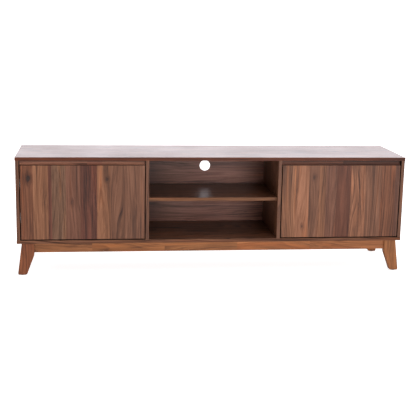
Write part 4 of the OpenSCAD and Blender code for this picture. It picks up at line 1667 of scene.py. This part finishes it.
class TVSTAND_OT_stage(bpy.types.Operator):
    """Makes the floor, the lights and the camera"""

    bl_idname = "tv_stand.stage"
    bl_label = "Stage"

    FLOOR_SIZE = 200
    LENS = 80.0
    CAMERA_PLACE = (-0.5102, -4.2660, 1.1559)
    # In degrees
    YAW = -6.907
    PITCH = -11.874
    ROLL = -1.095

    def execute(self, context):
        light = context.scene.tv_stand_light
        rest_selection()
        bpy.ops.mesh.primitive_grid_add(x_subdivisions=4, y_subdivisions=4, size=self.FLOOR_SIZE)
        floor = bpy.context.object
        floor.name = "studio_floor"
        settle(floor)
        floor.data.materials.append(finish_material("plain_floor"))
        self.add_room(light.sky)
        white = (1.0, 1.0, 1.0)
        self.add_softbox("front_softbox", (1.6, -5.6, 1.35), (0, 0, 0.3), 2.2, 1.2, light.front, white)
        self.add_softbox("top_softbox", (0.0, -0.6, 3.4), (0, 0, 0.4), 5.0, 2.6, light.above, white)
        pinkish = (1.0, 0.93, 1.0)
        self.add_softbox("rear_softbox", (0.5, 4.5, 1.9), (0, 0, 0.5), 12.0, 2.6, light.behind, pinkish)
        self.add_camera()
        context.scene.view_settings.view_transform = "Standard"
        return {"FINISHED"}

    def add_room(self, strength):
        world = bpy.data.worlds.new("studio_room")
        bpy.context.scene.world = world
        world.use_nodes = True
        tree = world.node_tree
        shade = tree.nodes["Background"]
        shade.inputs["Color"].default_value = (1.0, 1.0, 1.0, 1.0)
        heading = tree.nodes.new("ShaderNodeTexCoord").outputs["Generated"]
        across = axes_of(tree, heading)[0]
        # The left of the room is dimmer than the right
        level = spread(tree, across, -0.8, 0.5, strength * 0.6, strength)
        # The camera sees the room as plain white
        seen = tree.nodes.new("ShaderNodeLightPath").outputs["Is Camera Ray"]
        tree.links.new(spread(tree, seen, 0.0, 1.0, level, 1.1), shade.inputs["Strength"])

    def add_softbox(self, name, place, target, width, height, power, colour):
        rest_selection()
        bpy.ops.object.light_add(type="AREA", location=place)
        lamp = bpy.context.object
        lamp.name = name
        lamp.data.shape = "RECTANGLE"
        lamp.data.size = width
        lamp.data.size_y = height
        lamp.data.energy = power
        lamp.data.color = colour
        lamp.visible_camera = False
        aim = Vector(target) - Vector(place)
        lamp.rotation_euler = aim.to_track_quat("-Z", "Y").to_euler()

    def add_camera(self):
        rest_selection()
        bpy.ops.object.camera_add(location=self.CAMERA_PLACE)
        camera = bpy.context.object
        camera.name = "studio_camera"
        camera.data.sensor_width = 36.0
        camera.data.lens = self.LENS
        yaw = Matrix.Rotation(math.radians(self.YAW), 3, "Z")
        tip = Matrix.Rotation(math.radians(90 + self.PITCH), 3, "X")
        lean = Matrix.Rotation(math.radians(-self.ROLL), 3, "Z")
        camera.rotation_euler = (yaw @ tip @ lean).to_euler()
        bpy.context.scene.camera = camera


class TVSTAND_PT_panel(bpy.types.Panel):
    """Lists the pieces of the stand in the sidebar"""

    bl_label = "TV Stand"
    bl_idname = "TVSTAND_PT_panel"
    bl_space_type = "VIEW_3D"
    bl_region_type = "UI"
    bl_category = "TV Stand"

    def draw(self, context):
        layout = self.layout
        for group in ("tv_stand_sizes", "tv_stand_colours", "tv_stand_light"):
            options = getattr(context.scene, group)
            box = layout.box()
            for key in options.__annotations__:
                box.prop(options, key)
        for operator in PIECE_OPERATORS:
            layout.operator(operator.bl_idname)


PIECE_OPERATORS = (
    TVSTAND_OT_stage,
    TVSTAND_OT_top,
    TVSTAND_OT_bottom,
    TVSTAND_OT_uprights,
    TVSTAND_OT_top_rails,
    TVSTAND_OT_shelf,
    TVSTAND_OT_backs,
    TVSTAND_OT_doors,
    TVSTAND_OT_hinges,
    TVSTAND_OT_fasteners,
    TVSTAND_OT_legs,
    TVSTAND_OT_base_rails,
    TVSTAND_OT_glides,
    TVSTAND_OT_bumpers,
    TVSTAND_OT_hidden,
)
OPTION_GROUPS = (TvStandSizes, TvStandColours, TvStandLight)


def register():
    """Registers the options, the operators and the panel."""
    for option_class in OPTION_GROUPS:
        bpy.utils.register_class(option_class)
    bpy.types.Scene.tv_stand_sizes = PointerProperty(type=TvStandSizes)
    bpy.types.Scene.tv_stand_colours = PointerProperty(type=TvStandColours)
    bpy.types.Scene.tv_stand_light = PointerProperty(type=TvStandLight)
    for operator in PIECE_OPERATORS:
        bpy.utils.register_class(operator)
    bpy.utils.register_class(TVSTAND_PT_panel)


def unregister():
    """Removes what register added."""
    bpy.utils.unregister_class(TVSTAND_PT_panel)
    for operator in reversed(PIECE_OPERATORS):
        bpy.utils.unregister_class(operator)
    del bpy.types.Scene.tv_stand_light
    del bpy.types.Scene.tv_stand_colours
    del bpy.types.Scene.tv_stand_sizes
    for option_class in reversed(OPTION_GROUPS):
        bpy.utils.unregister_class(option_class)


def main():
    """Makes every piece in order."""
    register()
    bpy.ops.tv_stand.stage()
    bpy.ops.tv_stand.top()
    bpy.ops.tv_stand.bottom()
    bpy.ops.tv_stand.uprights()
    bpy.ops.tv_stand.top_rails()
    bpy.ops.tv_stand.shelf()
    bpy.ops.tv_stand.backs()
    bpy.ops.tv_stand.doors()
    bpy.ops.tv_stand.hinges()
    bpy.ops.tv_stand.fasteners()
    bpy.ops.tv_stand.legs()
    bpy.ops.tv_stand.base_rails()
    bpy.ops.tv_stand.glides()
    bpy.ops.tv_stand.bumpers()
    bpy.ops.tv_stand.hidden()
    rest_selection()


if __name__ == "__main__":
    main()
